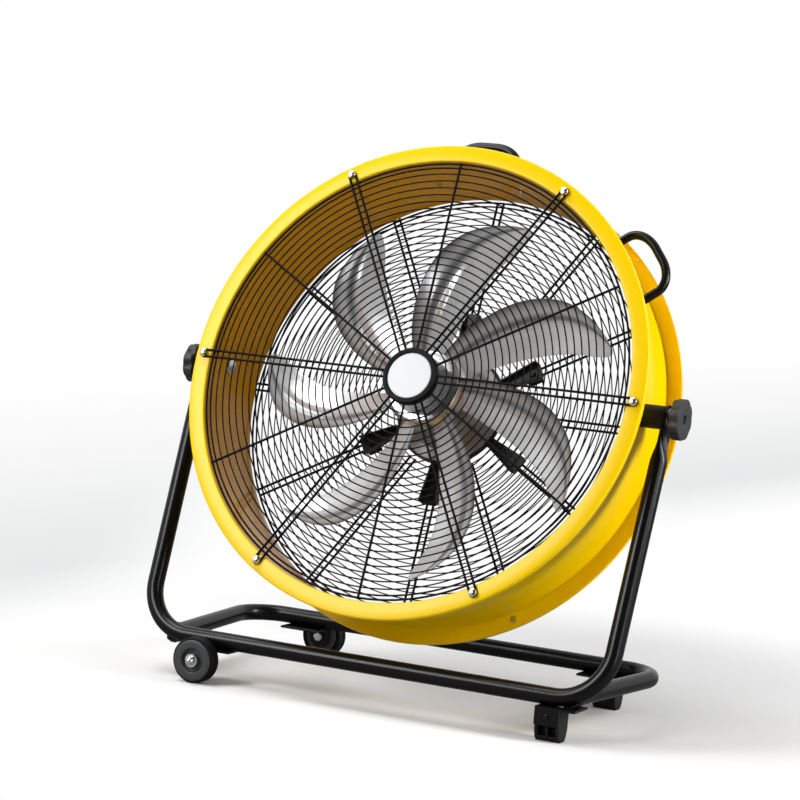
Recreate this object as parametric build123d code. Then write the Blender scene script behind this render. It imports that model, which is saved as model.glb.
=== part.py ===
"""Portable drum fan: a sheet-steel drum that tilts between two bent-tube stand frames on wheels and feet.

Millimetres and degrees. +Z is up, the fan faces -Y, and the stand rests on Z = 0. Every piece of the drum is
drawn in the drum's own frame, where the tilt axis is X, the drum's axis is Y and its front is towards -Y.
Small round pieces are drawn with a few flat sides, which keeps the model light.
"""

import os
from math import asin, cos, degrees, pi, radians, sin

from build123d import *

# Drum shell: one rolled sheet with a flange turned out at each end and a lip folded back on each flange.
BARREL_R = 307.0
SHEET = 1.2
FLANGE_W = 23.0
LIP = 5.0
DRUM_DEPTH = 146.0
PIVOT_BEHIND_FACE = 58.0
TILT = 20.0

# Stand: a front tube whose uprights carry the drum, and a rear tube that closes the base and narrows to the front.
TUBE_R = 11.5
TUBE_WALL = 1.8
RAIL_Z = 57.0
DRUM_LIFT = 85.0
PIVOT_Y = 124.0
PIVOT_REACH = 38.0
UPRIGHT_SPREAD = 7.0
FRONT_BEND_R = 68.0
BASE_DEPTH = 264.0
RETURN_INSET = 18.0
JOINT_INSET = 46.0
REAR_BEND_R = 50.0
TANG_LENGTH = 20.0
TANG_W = 34.0
FLATTENING_LENGTH = 42.0

# Pivots: a bolt through the barrel, spacer and flattened tube end, clamped by a knob.
PIVOT_BOLT_R = 5.0
BOLT_HEAD_R = 11.0
BOLT_HEAD_H = 4.0
SPACER_R = 15.5
PIVOT_WASHER_R = 13.0
PIVOT_WASHER_T = 1.5
KNOB_R = 27.5
KNOB_VALLEY_R = 21.5
KNOB_LOBES = 8
KNOB_T = 13.0
KNOB_EDGE = 2.0
KNOB_BOSS_R = 13.0
KNOB_BOSS_L = 6.0
KNOB_WELL_R = 6.5
KNOB_WELL_DEPTH = 4.0

# Wheels under the left end, each set in from the end of its rail.
WHEEL_R = 31.0
WHEEL_W = 22.0
TYRE_T = 6.5
TYRE_SHOULDER = 3.0
TYRE_INSET = 1.0
RIM_DISH_R = 17.0
RIM_DISH = 5.0
AXLE_R = 4.0
AXLE_HEAD_R = 7.5
AXLE_HEAD_H = 5.0
CAP_NUT_R = 6.5
CAP_NUT_H = 8.0
WHEEL_WASHER_R = 9.0
WHEEL_WASHER_T = 1.5
FRONT_WHEEL_INSET = 98.0
REAR_WHEEL_INSET = 106.0

# Brackets welded under the rails, and the moulded feet at the right end.
PLATE_T = 3.0
PLATE_DEPTH = 44.0
WHEEL_PLATE_W = 58.0
TONGUE_W = 32.0
FOOT_W = 34.0
FOOT_PLATE_W = 55.0
FOOT_DEPTH = 30.0
FOOT_TREAD = 14.0
FLAP_H = 24.0
FOOT_WINDOW_W = 11.0
FOOT_WINDOW_H = 13.0
FOOT_RIB = 3.0
FOOT_SCREW_R = 2.5
FRONT_FOOT_INSET = 68.0
REAR_FOOT_INSET = 80.0

# Guards: concentric wire rings welded to straight wires, held to the flanges by looped wire pairs.
WIRE = 4.0
RING_WIRE = 2.6
PAIR_PITCH = 9.2
GUARD_ARMS = 6
GUARD_BOLT_OUT = 10.5
OUTER_RING_GAP = 7.0
FRONT_RINGS = 10
FRONT_INNER_RING_R = 56.0
REAR_RINGS = 7
REAR_INNER_RING_R = 84.0
HUB_RING_R = 39.0
HUB_CAP_R = 31.5
HUB_RING_T = 11.0
HUB_CAP_T = 3.5
BOLT_SIDE = 3.6
BOLT_CAP_R = 6.0
BOLT_CAP_H = 3.2
NUT_R = 5.0
NUT_H = 4.5

# Motor, carried by a six-armed spider clamped to the rear guard.
MOTOR_R = 60.0
MOTOR_IN_DRUM = 66.0
MOTOR_LENGTH = 92.0
BELL_LENGTH = 14.0
BELL_NOSE_R = 37.0
MOUNT_FLANGE_R = 76.0
MOUNT_FLANGE_T = 4.0
STATOR_R = 54.0
CORE_R = 31.0
AIR_GAP = 0.5
CORE_LENGTH = 44.0
SHAFT_R = 7.0
BEARING_R = 16.0
BEARING_W = 10.0
SPIDER_T = 2.5
SPIDER_R = 80.0
ARM_REACH = 138.0
ARM_ROOT_W = 12.0
ARM_TIP_W = 27.0
ARM_RIB_H = 9.0
CLAMP_L = 20.0
CLAMP_W = 24.0
CLAMP_T = 3.0
CLAMP_INSET = 14.0
CLAMP_SCREW_R = 2.3
MOTOR_SCREW_R = 2.5
MOTOR_SCREWS = 4
MOTOR_SCREW_AT_R = 68.5

# Rotor: hub cup and swept pressed-metal blades.
HUB_R = 54.0
HUB_DEPTH = 34.0
HUB_WALL = 3.0
HUB_TO_MOTOR = 8.0
HUB_BOSS_R = 15.0
HUB_NUT_R = 12.0
HUB_NUT_T = 7.0
BLADES = 7
BLADE_T = 1.8
BLADE_TIP_GAP = 49.0
BLADE_PHASE = 100.0
# Down each blade, with lengths as shares of the tip's radius: radius, sweep in degrees, chord, pitch in degrees,
# crease depth and distance behind the hub's middle.
BLADE_STATIONS = [
    (0.186, 1.0, 0.163, 42.0, 0.012, 0.0),
    (0.349, -2.0, 0.248, 37.0, 0.023, 0.023),
    (0.504, -5.5, 0.302, 33.0, 0.031, 0.043),
    (0.659, -10.0, 0.326, 29.0, 0.031, 0.058),
    (0.795, -15.5, 0.302, 26.0, 0.025, 0.066),
    (0.899, -21.0, 0.233, 24.0, 0.016, 0.070),
    (1.0, -29.0, 0.078, 22.0, 0.004, 0.070),
]
# Across each blade: place along the chord and share of the crease depth.
BLADE_CREST = [(-0.5, 0.0), (-0.18, 0.85), (0.14, 1.0), (0.5, 0.0)]

# Carry handles: bent rods on the barrel, between the flanges.
HANDLE_ROD_R = 6.0
HANDLE_HEIGHT = 56.0
HANDLE_SPAN = 104.0
HANDLE_BEND_R = 36.0
HANDLE_ANGLES = {"top": 90.0, "side": 39.0}
HANDLE_TAB_L = 30.0
HANDLE_TAB_W = 22.0
HANDLE_TAB_T = 3.0
HANDLE_SCREW_R = 2.8

# Switch box on the motor's rear.
BOX_W = 84.0
BOX_H = 62.0
BOX_D = 34.0
BOX_WALL = 2.5
BOX_CORNER = 8.0
GLAND_R = 8.0
GLAND_L = 16.0
CAPACITOR_R = 11.0
CAPACITOR_L = 46.0
SWITCH_SIDE = 26.0
SWITCH_DEPTH = 15.0
DIAL_R = 17.0
DIAL_T = 12.0
DIAL_STEM_R = 3.0

# Clearances.
SHAFT_FIT = 0.05
SLIDE_GAP = 0.3
HOLE_GAP = 0.2

# Flat sides of round pieces, by size.
SMALL_SIDES = 8
MIDDLE_SIDES = 12
MOTOR_SIDES = 18
WHEEL_SIDES = 20
TUBE_SIDES = 12
DRUM_SIDES = 60
BEND_STEPS = 5

# Positions that follow from the sizes above.
FACE_Y = -PIVOT_BEHIND_FACE
BACK_Y = DRUM_DEPTH - PIVOT_BEHIND_FACE
BARREL_OUT = BARREL_R + SHEET
FLANGE_R = BARREL_R + FLANGE_W
GUARD_BOLT_R = BARREL_R + GUARD_BOLT_OUT
OUTER_RING_R = BARREL_R - OUTER_RING_GAP
TIP_R = BARREL_R - BLADE_TIP_GAP
PIVOT_X = BARREL_R + PIVOT_REACH
PIVOT_Z = FLANGE_R + DRUM_LIFT
RAIL_HALF = PIVOT_X - UPRIGHT_SPREAD
RETURN_X = RAIL_HALF - RETURN_INSET
JOINT_X = RAIL_HALF - JOINT_INSET
TANG_T = 2 * TUBE_WALL
TANG_IN = PIVOT_X - TANG_T / 2
TANG_OUT = PIVOT_X + TANG_T / 2
PLATE_TOP_Z = RAIL_Z - TUBE_R
PLATE_LOW_Z = PLATE_TOP_Z - PLATE_T
MOTOR_FRONT_Y = BACK_Y - MOTOR_IN_DRUM
MOTOR_BACK_Y = MOTOR_FRONT_Y + MOTOR_LENGTH
CORE_Y = MOTOR_FRONT_Y + MOTOR_LENGTH / 2
SPIDER_Y = BACK_Y - RING_WIRE - SPIDER_T
CLAMP_AT_R = ARM_REACH - CLAMP_INSET

in_drum = Pos(0, PIVOT_Y, PIVOT_Z) * Rot(-TILT, 0, 0)
nodes = {}

# ---- Drawing helpers ---------------------------------------------------------------------------------------


def turned(angle):
    """Turns a piece about the drum's axis, anticlockwise as seen from the front."""
    return Rot(0, -angle, 0)


def flat_sided(faces):
    """A solid from the corner points of its flat faces."""
    return Solid(Shell([Face(Wire.make_polygon(corners)) for corners in faces]))


def lathe(outline, sides=MIDDLE_SIDES):
    """Turns a closed outline of (radius, y) points about the Y axis into a solid with flat sides."""
    angles = [2 * pi * i / sides for i in range(sides)]
    rows = [[Vector(r * cos(a), y, r * sin(a)) for r, y in outline] for a in angles]
    faces = []
    for near, far in zip(rows, rows[1:] + rows[:1]):
        for i in range(len(outline)):
            j = (i + 1) % len(outline)
            corners = [near[i], near[j]]
            if outline[j][0] > 0:
                corners.append(far[j])
            if outline[i][0] > 0:
                corners.append(far[i])
            if len(corners) > 2:
                faces.append(corners)
    return flat_sided(faces)


def bar(radius, start, end, sides=SMALL_SIDES):
    """A solid bar along Y."""
    return lathe([(0, start), (radius, start), (radius, end), (0, end)], sides)


def sleeve(inner, outer, start, end, sides=SMALL_SIDES):
    """A tube or washer along Y, whose flat-sided bore clears a bar of the inner radius."""
    bore = inner / cos(pi / sides)
    return lathe([(bore, start), (outer, start), (outer, end), (bore, end)], sides)


def bore_cut(radius, start, end, sides=SMALL_SIDES):
    """A bar along Y for cutting a hole that clears a bar of the given radius."""
    return bar(radius / cos(pi / sides), start, end, sides)


def block(x0, x1, y0, y1, z0, z1):
    """A rectangular block between two corners."""
    return Pos((x0 + x1) / 2, (y0 + y1) / 2, (z0 + z1) / 2) * Box(x1 - x0, y1 - y0, z1 - z0)


def plate(sketch, start, thickness):
    """Extrudes a sketch drawn in X and Z, as seen from the front, backwards along Y."""
    return extrude(Plane((0, start, 0), x_dir=(1, 0, 0), z_dir=(0, -1, 0)) * sketch, amount=-thickness)


def both_sides(piece):
    """A piece drawn outwards along Y, placed along +X and -X."""
    right = Rot(0, 0, -90) * piece
    return [right, mirror(right, Plane.YZ)]


def bent_rod(corners, bend_radius, steps, section):
    """Sweeps a flat-sided section along straight runs and stepped bends."""
    points = []
    for edge in FilletPolyline(*corners, radius=bend_radius).edges():
        count = steps if edge.geom_type == GeomType.CIRCLE else 1
        points.extend(edge @ (i / count) for i in range(count))
    path = Polyline(*points, corners[-1])
    return sweep(section(path @ 0, path % 0), path=path, transition=Transition.RIGHT)


def add(name, pieces, frame=None):
    """Stores a node as a group of separate solids."""
    solids = []
    for piece in pieces if isinstance(pieces, list) else [pieces]:
        placed = frame * piece if frame else piece
        solids.extend(placed.solids())
    nodes[name] = Compound(children=solids)


# ---- Stand tubes -------------------------------------------------------------------------------------------

tang_dir = Vector(0, PIVOT_Y, PIVOT_Z - RAIL_Z).normalized()
tang_start = Vector(PIVOT_X, PIVOT_Y, PIVOT_Z) - tang_dir * TANG_LENGTH
upright_foot = Vector(RAIL_HALF, 0, RAIL_Z)
upright_dir = (tang_start - upright_foot).normalized()
round_end = tang_start - upright_dir * FLATTENING_LENGTH
frame_normal = Vector(0, upright_dir.Z, -upright_dir.Y).normalized()


def mirrored(point):
    """The matching point on the left."""
    return (-point.X, point.Y, point.Z)


def front_section(origin, direction):
    """The tube's section, with one flat-sided corner square to the frame's plane."""
    return Plane(origin=origin, x_dir=frame_normal, z_dir=direction) * RegularPolygon(TUBE_R, TUBE_SIDES)


def rear_section(origin, direction):
    """The tube's section, with one flat-sided corner upwards."""
    return Plane(origin=origin, x_dir=(0, 0, 1), z_dir=direction) * RegularPolygon(TUBE_R, TUBE_SIDES)


def squeezed_tube():
    """The stretch of the right upright that goes from round to flat."""
    low = Plane(origin=round_end, x_dir=frame_normal, z_dir=upright_dir)
    high = Plane(origin=tang_start, x_dir=(0, tang_dir.Z, -tang_dir.Y), z_dir=tang_dir)
    angles = [2 * pi * i / TUBE_SIDES for i in range(TUBE_SIDES)]
    ring = [low.from_local_coords(Vector(TUBE_R * cos(a), TUBE_R * sin(a), 0)) for a in angles]
    half_w, half_t = TANG_W / 2, TANG_T / 2
    flat = [(half_w * cos(a), max(-half_t, min(half_t, half_w * sin(a)))) for a in angles]
    slot = [high.from_local_coords(Vector(x, y, 0)) for x, y in flat]
    faces = [ring, slot]
    for i in range(TUBE_SIDES):
        j = (i + 1) % TUBE_SIDES
        faces.append([ring[i], ring[j], slot[j]])
        faces.append([ring[i], slot[j], slot[i]])
    return flat_sided(faces)


lean = degrees(asin(tang_dir.Y))
tang_outline = RegularPolygon(TANG_W / 2, MIDDLE_SIDES) + Pos(0, -TANG_LENGTH / 2) * Rectangle(TANG_W, TANG_LENGTH)
tang_outline -= RegularPolygon(PIVOT_BOLT_R + SHAFT_FIT, MIDDLE_SIDES, major_radius=False)
tang_plane = Plane(origin=(TANG_IN, PIVOT_Y, PIVOT_Z), x_dir=(0, cos(radians(lean)), -sin(radians(lean))),
                   z_dir=(1, 0, 0))
tang = extrude(tang_plane * tang_outline, amount=TANG_T)

front_corners = [mirrored(round_end), mirrored(upright_foot), tuple(upright_foot), tuple(round_end)]
front_tube = bent_rod(front_corners, FRONT_BEND_R, BEND_STEPS, front_section)
whole_front = front_tube
for piece in (squeezed_tube(), tang):
    whole_front += piece
    whole_front += mirror(piece, Plane.YZ)
add("stand_front_tube", whole_front)

rear_corners = [
    (-JOINT_X, 0, RAIL_Z),
    (-RETURN_X, BASE_DEPTH, RAIL_Z),
    (RETURN_X, BASE_DEPTH, RAIL_Z),
    (JOINT_X, 0, RAIL_Z),
]
coped = bent_rod(rear_corners, REAR_BEND_R, BEND_STEPS, rear_section) - front_tube
add("stand_rear_tube", max(coped.solids(), key=lambda solid: solid.volume))

# ---- Wheels and feet ---------------------------------------------------------------------------------------

TONGUE_FRONT_Y = -TUBE_R - PLATE_T
WHEEL_BACK_Y = TONGUE_FRONT_Y - WHEEL_WASHER_T - SLIDE_GAP
WHEEL_FRONT_Y = WHEEL_BACK_Y - WHEEL_W
CAP_NUT_Y = WHEEL_FRONT_Y - SLIDE_GAP - WHEEL_WASHER_T
FOOT_SCREW_Z = PLATE_TOP_Z - FLAP_H / 2 - PLATE_T / 2
AXLE_HEIGHT = Pos(0, 0, WHEEL_R)


def wheel_bracket():
    """Plate under the rail, with a tongue in front that carries the axle."""
    under = block(-TONGUE_W / 2, WHEEL_PLATE_W - TONGUE_W / 2, TONGUE_FRONT_Y, TONGUE_FRONT_Y + PLATE_DEPTH,
                  PLATE_LOW_Z, PLATE_TOP_Z)
    tongue = AXLE_HEIGHT * bar(TONGUE_W / 2, TONGUE_FRONT_Y, -TUBE_R, MIDDLE_SIDES)
    tongue += block(-TONGUE_W / 2, TONGUE_W / 2, TONGUE_FRONT_Y, -TUBE_R, WHEEL_R, PLATE_TOP_Z)
    return under + tongue - AXLE_HEIGHT * bore_cut(AXLE_R, TONGUE_FRONT_Y - 1, 0)


def wheel_tyre():
    """Ring of rubber with rounded shoulders, round the rim."""
    back, front = WHEEL_BACK_Y - TYRE_INSET, WHEEL_FRONT_Y + TYRE_INSET
    outline = [
        (WHEEL_R - TYRE_T, back),
        (WHEEL_R - TYRE_SHOULDER, back),
        (WHEEL_R, back - TYRE_SHOULDER),
        (WHEEL_R, front + TYRE_SHOULDER),
        (WHEEL_R - TYRE_SHOULDER, front),
        (WHEEL_R - TYRE_T, front),
    ]
    return AXLE_HEIGHT * lathe(outline, WHEEL_SIDES)


def wheel_rim():
    """Moulded disc with a dished face and a bore that turns on the axle."""
    rim_r = WHEEL_R - TYRE_T
    bore = (AXLE_R + SHAFT_FIT) / cos(pi / WHEEL_SIDES)
    outline = [
        (bore, WHEEL_BACK_Y),
        (rim_r, WHEEL_BACK_Y),
        (rim_r, WHEEL_FRONT_Y),
        (RIM_DISH_R, WHEEL_FRONT_Y + RIM_DISH),
        (WHEEL_WASHER_R, WHEEL_FRONT_Y + RIM_DISH),
        (WHEEL_WASHER_R, WHEEL_FRONT_Y),
        (bore, WHEEL_FRONT_Y),
    ]
    return AXLE_HEIGHT * lathe(outline, WHEEL_SIDES)


def axle_bolt():
    """Hexagon-headed bolt from behind the tongue, through the wheel and into the cap nut."""
    head = bar(AXLE_HEAD_R, -TUBE_R, -TUBE_R + AXLE_HEAD_H, 6)
    return AXLE_HEIGHT * (head + bar(AXLE_R, CAP_NUT_Y - CAP_NUT_H / 2, -TUBE_R))


def axle_washers():
    """Washers behind and in front of the wheel."""
    starts = (TONGUE_FRONT_Y - WHEEL_WASHER_T, CAP_NUT_Y)
    return [AXLE_HEIGHT * sleeve(AXLE_R, WHEEL_WASHER_R, y, y + WHEEL_WASHER_T) for y in starts]


def cap_nut():
    """Domed nut over the bolt's end."""
    tip = CAP_NUT_Y - CAP_NUT_H
    outline = [
        (0, tip),
        (CAP_NUT_R * 0.55, tip + 0.8),
        (CAP_NUT_R * 0.87, CAP_NUT_Y - CAP_NUT_H / 2),
        (CAP_NUT_R, CAP_NUT_Y - CAP_NUT_H / 2),
        (CAP_NUT_R, CAP_NUT_Y),
        (0, CAP_NUT_Y),
    ]
    return AXLE_HEIGHT * (lathe(outline, 6) - bore_cut(AXLE_R, CAP_NUT_Y - CAP_NUT_H / 2, CAP_NUT_Y + 1))


def foot_bracket():
    """Plate under the rail, with a flap folded down in front of the foot."""
    flap_y = -FOOT_DEPTH / 2 - PLATE_T
    under = block(-FOOT_W / 2, FOOT_PLATE_W - FOOT_W / 2, flap_y, flap_y + PLATE_DEPTH, PLATE_LOW_Z, PLATE_TOP_Z)
    flap = block(-FOOT_W / 2, FOOT_W / 2, flap_y, flap_y + PLATE_T, PLATE_TOP_Z - FLAP_H, PLATE_TOP_Z)
    return under + flap - Pos(0, 0, FOOT_SCREW_Z) * bore_cut(FOOT_SCREW_R, flap_y - 1, 0, SMALL_SIDES)


def rubber_foot():
    """Moulded block, rounded to a flat tread, with two cored windows either side of a rib."""
    half, tread = FOOT_DEPTH / 2, FOOT_TREAD / 2
    flank = [(tread, 0), (half * 0.8, PLATE_LOW_Z * 0.14), (half, PLATE_LOW_Z * 0.38), (half, PLATE_LOW_Z)]
    outline = make_face(Polyline(*flank, *[(-y, z) for y, z in reversed(flank)], close=True))
    body = extrude(Plane.YZ * outline, amount=FOOT_W / 2, both=True)
    window_top = PLATE_TOP_Z - FLAP_H - 1
    for side in (-1, 1):
        x = side * (FOOT_RIB + FOOT_WINDOW_W) / 2
        body -= block(x - FOOT_WINDOW_W / 2, x + FOOT_WINDOW_W / 2, -half, half * 0.2,
                      window_top - FOOT_WINDOW_H, window_top)
    return body - Pos(0, 0, FOOT_SCREW_Z) * bar(FOOT_SCREW_R, -half, 0, SMALL_SIDES)


def foot_screw():
    """Screw through the flap into the foot."""
    flap_y = -FOOT_DEPTH / 2 - PLATE_T
    head = bar(FOOT_SCREW_R * 2, flap_y - 2, flap_y, SMALL_SIDES)
    return Pos(0, 0, FOOT_SCREW_Z) * (head + bar(FOOT_SCREW_R, flap_y, 0, SMALL_SIDES))


# A bracket under the rear rail is the front one turned half round, so that its flap or tongue faces the rear.
wheel_places = {
    "front": Pos(FRONT_WHEEL_INSET - RAIL_HALF, 0, 0),
    "rear": Pos(REAR_WHEEL_INSET - RETURN_X, BASE_DEPTH, 0) * Rot(0, 0, 180),
}
foot_places = {
    "front": Pos(RAIL_HALF - FRONT_FOOT_INSET, 0, 0),
    "rear": Pos(RETURN_X - REAR_FOOT_INSET, BASE_DEPTH, 0) * Rot(0, 0, 180),
}
for end, place in wheel_places.items():
    add(f"wheel_bracket_{end}", place * wheel_bracket())
    add(f"wheel_rim_{end}", place * wheel_rim())
    add(f"wheel_tyre_{end}", place * wheel_tyre())
for end, place in foot_places.items():
    add(f"foot_bracket_{end}", place * foot_bracket())
    add(f"rubber_foot_{end}", place * rubber_foot())
add("wheel_axle_bolts", [place * axle_bolt() for place in wheel_places.values()])
add("axle_cap_nuts", [place * cap_nut() for place in wheel_places.values()])
add("axle_washers", [place * washer for place in wheel_places.values() for washer in axle_washers()])
add("foot_screws", [place * foot_screw() for place in foot_places.values()])

# ---- Pivots and knobs --------------------------------------------------------------------------------------

WASHER_IN = TANG_OUT + SLIDE_GAP
KNOB_IN = WASHER_IN + PIVOT_WASHER_T + SLIDE_GAP
KNOB_BACK = KNOB_IN + KNOB_BOSS_L
KNOB_OUT = KNOB_BACK + KNOB_T
BOLT_IN = BARREL_R - BOLT_HEAD_H
barrel_bar = bar(BARREL_OUT, FACE_Y, BACK_Y, DRUM_SIDES)


def tilt_knob():
    """Lobed knob with a boss, a bevelled outer face and a well at the bolt's end."""
    lobe = 2 * pi / KNOB_LOBES
    ring = []
    for i in range(KNOB_LOBES):
        ring.extend([(KNOB_R, (i - 0.2) * lobe), (KNOB_R, (i + 0.2) * lobe), (KNOB_VALLEY_R, (i + 0.5) * lobe)])
    outline = make_face(Polyline(*[(r * cos(a), r * sin(a)) for r, a in ring], close=True))
    head = plate(outline, KNOB_BACK, KNOB_T - KNOB_EDGE)
    bevel = scale(outline, (KNOB_R - KNOB_EDGE) / KNOB_R)
    rim = Plane((0, KNOB_OUT - KNOB_EDGE, 0), x_dir=(1, 0, 0), z_dir=(0, -1, 0)) * outline
    face = Plane((0, KNOB_OUT, 0), x_dir=(1, 0, 0), z_dir=(0, -1, 0)) * bevel
    head += loft([rim, face], ruled=True)
    head += bar(KNOB_BOSS_R, KNOB_IN, KNOB_BACK, MIDDLE_SIDES)
    head -= bar(KNOB_WELL_R, KNOB_OUT - KNOB_WELL_DEPTH, KNOB_OUT + 1)
    return head - bore_cut(PIVOT_BOLT_R + SHAFT_FIT, KNOB_IN - 1, KNOB_OUT - KNOB_WELL_DEPTH + 1)


bolt = bar(BOLT_HEAD_R, BOLT_IN - 0.6, BOLT_IN + BOLT_HEAD_H * 0.8, MIDDLE_SIDES)
bolt += bar(PIVOT_BOLT_R, BOLT_IN, KNOB_OUT - KNOB_WELL_DEPTH + 1)
spacer = sleeve(PIVOT_BOLT_R, SPACER_R, BARREL_R, TANG_IN - SLIDE_GAP, MIDDLE_SIDES)
spacers = [piece - barrel_bar for piece in both_sides(spacer)]
washer = sleeve(PIVOT_BOLT_R, PIVOT_WASHER_R, WASHER_IN, WASHER_IN + PIVOT_WASHER_T, MIDDLE_SIDES)
knobs = both_sides(tilt_knob())
add("pivot_bolts", both_sides(bolt), in_drum)
add("pivot_spacers", spacers, in_drum)
add("pivot_washers", both_sides(washer), in_drum)
add("tilt_knob_right", knobs[0], in_drum)
add("tilt_knob_left", knobs[1], in_drum)

# ---- Drum shell --------------------------------------------------------------------------------------------

GUARD_ANGLES = [360 / GUARD_ARMS * i for i in range(GUARD_ARMS)]
HALFWAY_ANGLES = [angle + 180 / GUARD_ARMS for angle in GUARD_ANGLES]
HANDLE_LEG_X = HANDLE_SPAN / 2 - HANDLE_ROD_R
HANDLE_SCREW_X = HANDLE_LEG_X + HANDLE_TAB_L - 2.2 * HANDLE_ROD_R
handle_frames = {
    side: turned(angle - 90) * Pos(0, (FACE_Y + BACK_Y) / 2, 0) for side, angle in HANDLE_ANGLES.items()
}


def handle_screw_bar(radius, low, high, side, sides=SMALL_SIDES):
    """A bar along a handle's foot screw, square to the barrel, between two heights above the barrel."""
    around = Rot(0, side * degrees(asin(HANDLE_SCREW_X / BARREL_OUT)), 0)
    return around * Pos(0, 0, BARREL_OUT) * Rot(90, 0, 0) * bar(radius, low, high, sides)


def square_bar(side, start, end):
    """A square bar along Y through a guard bolt's place."""
    return block(GUARD_BOLT_R - side / 2, GUARD_BOLT_R + side / 2, start, end, -side / 2, side / 2)


shell_outline = [
    (BARREL_R, FACE_Y),
    (FLANGE_R, FACE_Y),
    (FLANGE_R, FACE_Y + LIP),
    (FLANGE_R - SHEET, FACE_Y + LIP),
    (FLANGE_R - SHEET, FACE_Y + SHEET),
    (BARREL_OUT, FACE_Y + SHEET),
    (BARREL_OUT, BACK_Y - SHEET),
    (FLANGE_R - SHEET, BACK_Y - SHEET),
    (FLANGE_R - SHEET, BACK_Y - LIP),
    (FLANGE_R, BACK_Y - LIP),
    (FLANGE_R, BACK_Y),
    (BARREL_R, BACK_Y),
]
shell = lathe(shell_outline, DRUM_SIDES)
for angle in GUARD_ANGLES:
    shell -= turned(angle) * square_bar(BOLT_SIDE, FACE_Y - 1, BACK_Y + 1)
for cut in both_sides(bar(PIVOT_BOLT_R, BOLT_IN, BARREL_OUT + 1)):
    shell -= cut
for place in handle_frames.values():
    for side in (-1, 1):
        shell -= place * handle_screw_bar(HANDLE_SCREW_R, -12, 12, side)
add("drum_shell", shell, in_drum)

# ---- Carry handles -----------------------------------------------------------------------------------------


def handle_section(origin, direction):
    """The handle rod's section."""
    return Plane(origin=origin, x_dir=(0, 1, 0), z_dir=direction) * RegularPolygon(HANDLE_ROD_R, SMALL_SIDES)


def carry_handle():
    """Rod bent into a D, with a flat tab at each foot shaped to the barrel."""
    top = BARREL_OUT + HANDLE_HEIGHT - HANDLE_ROD_R
    foot = BARREL_OUT * cos(asin(HANDLE_LEG_X / BARREL_OUT))
    corners = [(-HANDLE_LEG_X, 0, foot), (-HANDLE_LEG_X, 0, top), (HANDLE_LEG_X, 0, top), (HANDLE_LEG_X, 0, foot)]
    handle = bent_rod(corners, HANDLE_BEND_R, 3, handle_section)
    tab = block(HANDLE_LEG_X - HANDLE_ROD_R, HANDLE_LEG_X - HANDLE_ROD_R + HANDLE_TAB_L,
                -HANDLE_TAB_W / 2, HANDLE_TAB_W / 2, foot - 16, foot + HANDLE_ROD_R)
    tab &= bar(BARREL_OUT + HANDLE_TAB_T, FACE_Y, BACK_Y, DRUM_SIDES)
    handle += tab
    handle += mirror(tab, Plane.YZ)
    for side in (-1, 1):
        handle -= handle_screw_bar(HANDLE_SCREW_R, -12, 12, side)
    return handle


def handle_screw(side):
    """Button-headed screw through a handle's tab and the barrel."""
    head = handle_screw_bar(HANDLE_SCREW_R * 1.9, HANDLE_TAB_T, HANDLE_TAB_T + 2.6, side)
    return head + handle_screw_bar(HANDLE_SCREW_R, -8, HANDLE_TAB_T, side)


for name, place in handle_frames.items():
    add(f"carry_handle_{name}", place * carry_handle() - barrel_bar, in_drum)
add("handle_screws", [place * handle_screw(side) for place in handle_frames.values() for side in (-1, 1)], in_drum)

# ---- Guards ------------------------------------------------------------------------------------------------


def guard_rings(inner, count, face, inward):
    """Evenly spaced rings with a flat side on the face and a ridge inward, and more sides on the larger ones."""
    rings = []
    for i in range(count):
        radius = inner + (OUTER_RING_R - inner) * i / (count - 1)
        outline = [(radius - RING_WIRE / 2, face), (radius + RING_WIRE / 2, face), (radius, face + inward * RING_WIRE)]
        rings.append(lathe(outline, 16 if radius < OUTER_RING_R / 2 else 20))
    return rings


def looped_pair(inner, start):
    """Two wires side by side, bent round the guard bolt at their outer end."""
    solid_width, gap_width = PAIR_PITCH + WIRE, PAIR_PITCH - WIRE
    middle = (inner + GUARD_BOLT_R) / 2
    run = GUARD_BOLT_R - inner
    loop = Pos(middle, 0) * Rectangle(run, solid_width)
    loop += Pos(GUARD_BOLT_R, 0) * RegularPolygon(solid_width / 2, SMALL_SIDES, major_radius=False)
    loop -= Pos(middle - 1, 0) * Rectangle(run + 2, gap_width)
    loop -= Pos(GUARD_BOLT_R, 0) * RegularPolygon(gap_width / 2, SMALL_SIDES, major_radius=False)
    return plate(loop, start, WIRE)


def straight_wire(inner, start, offset=0.0):
    """One straight wire out to the outermost ring."""
    return plate(Pos((inner + OUTER_RING_R) / 2, offset) * Rectangle(OUTER_RING_R - inner, WIRE), start, WIRE)


front_wire_y = FACE_Y - WIRE
front_guard = guard_rings(FRONT_INNER_RING_R, FRONT_RINGS, FACE_Y, 1)
front_guard += [turned(angle) * looped_pair(HUB_RING_R, front_wire_y) for angle in GUARD_ANGLES]
front_guard += [turned(angle) * straight_wire(HUB_RING_R, front_wire_y) for angle in HALFWAY_ANGLES]
add("front_guard", front_guard, in_drum)

rear_guard = guard_rings(REAR_INNER_RING_R, REAR_RINGS, BACK_Y, -1)
rear_guard += [turned(angle) * looped_pair(REAR_INNER_RING_R, BACK_Y) for angle in GUARD_ANGLES]
for offset in (-PAIR_PITCH / 2, PAIR_PITCH / 2):
    rear_guard += [turned(angle) * straight_wire(REAR_INNER_RING_R, BACK_Y, offset) for angle in HALFWAY_ANGLES]
add("rear_guard", rear_guard, in_drum)

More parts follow.
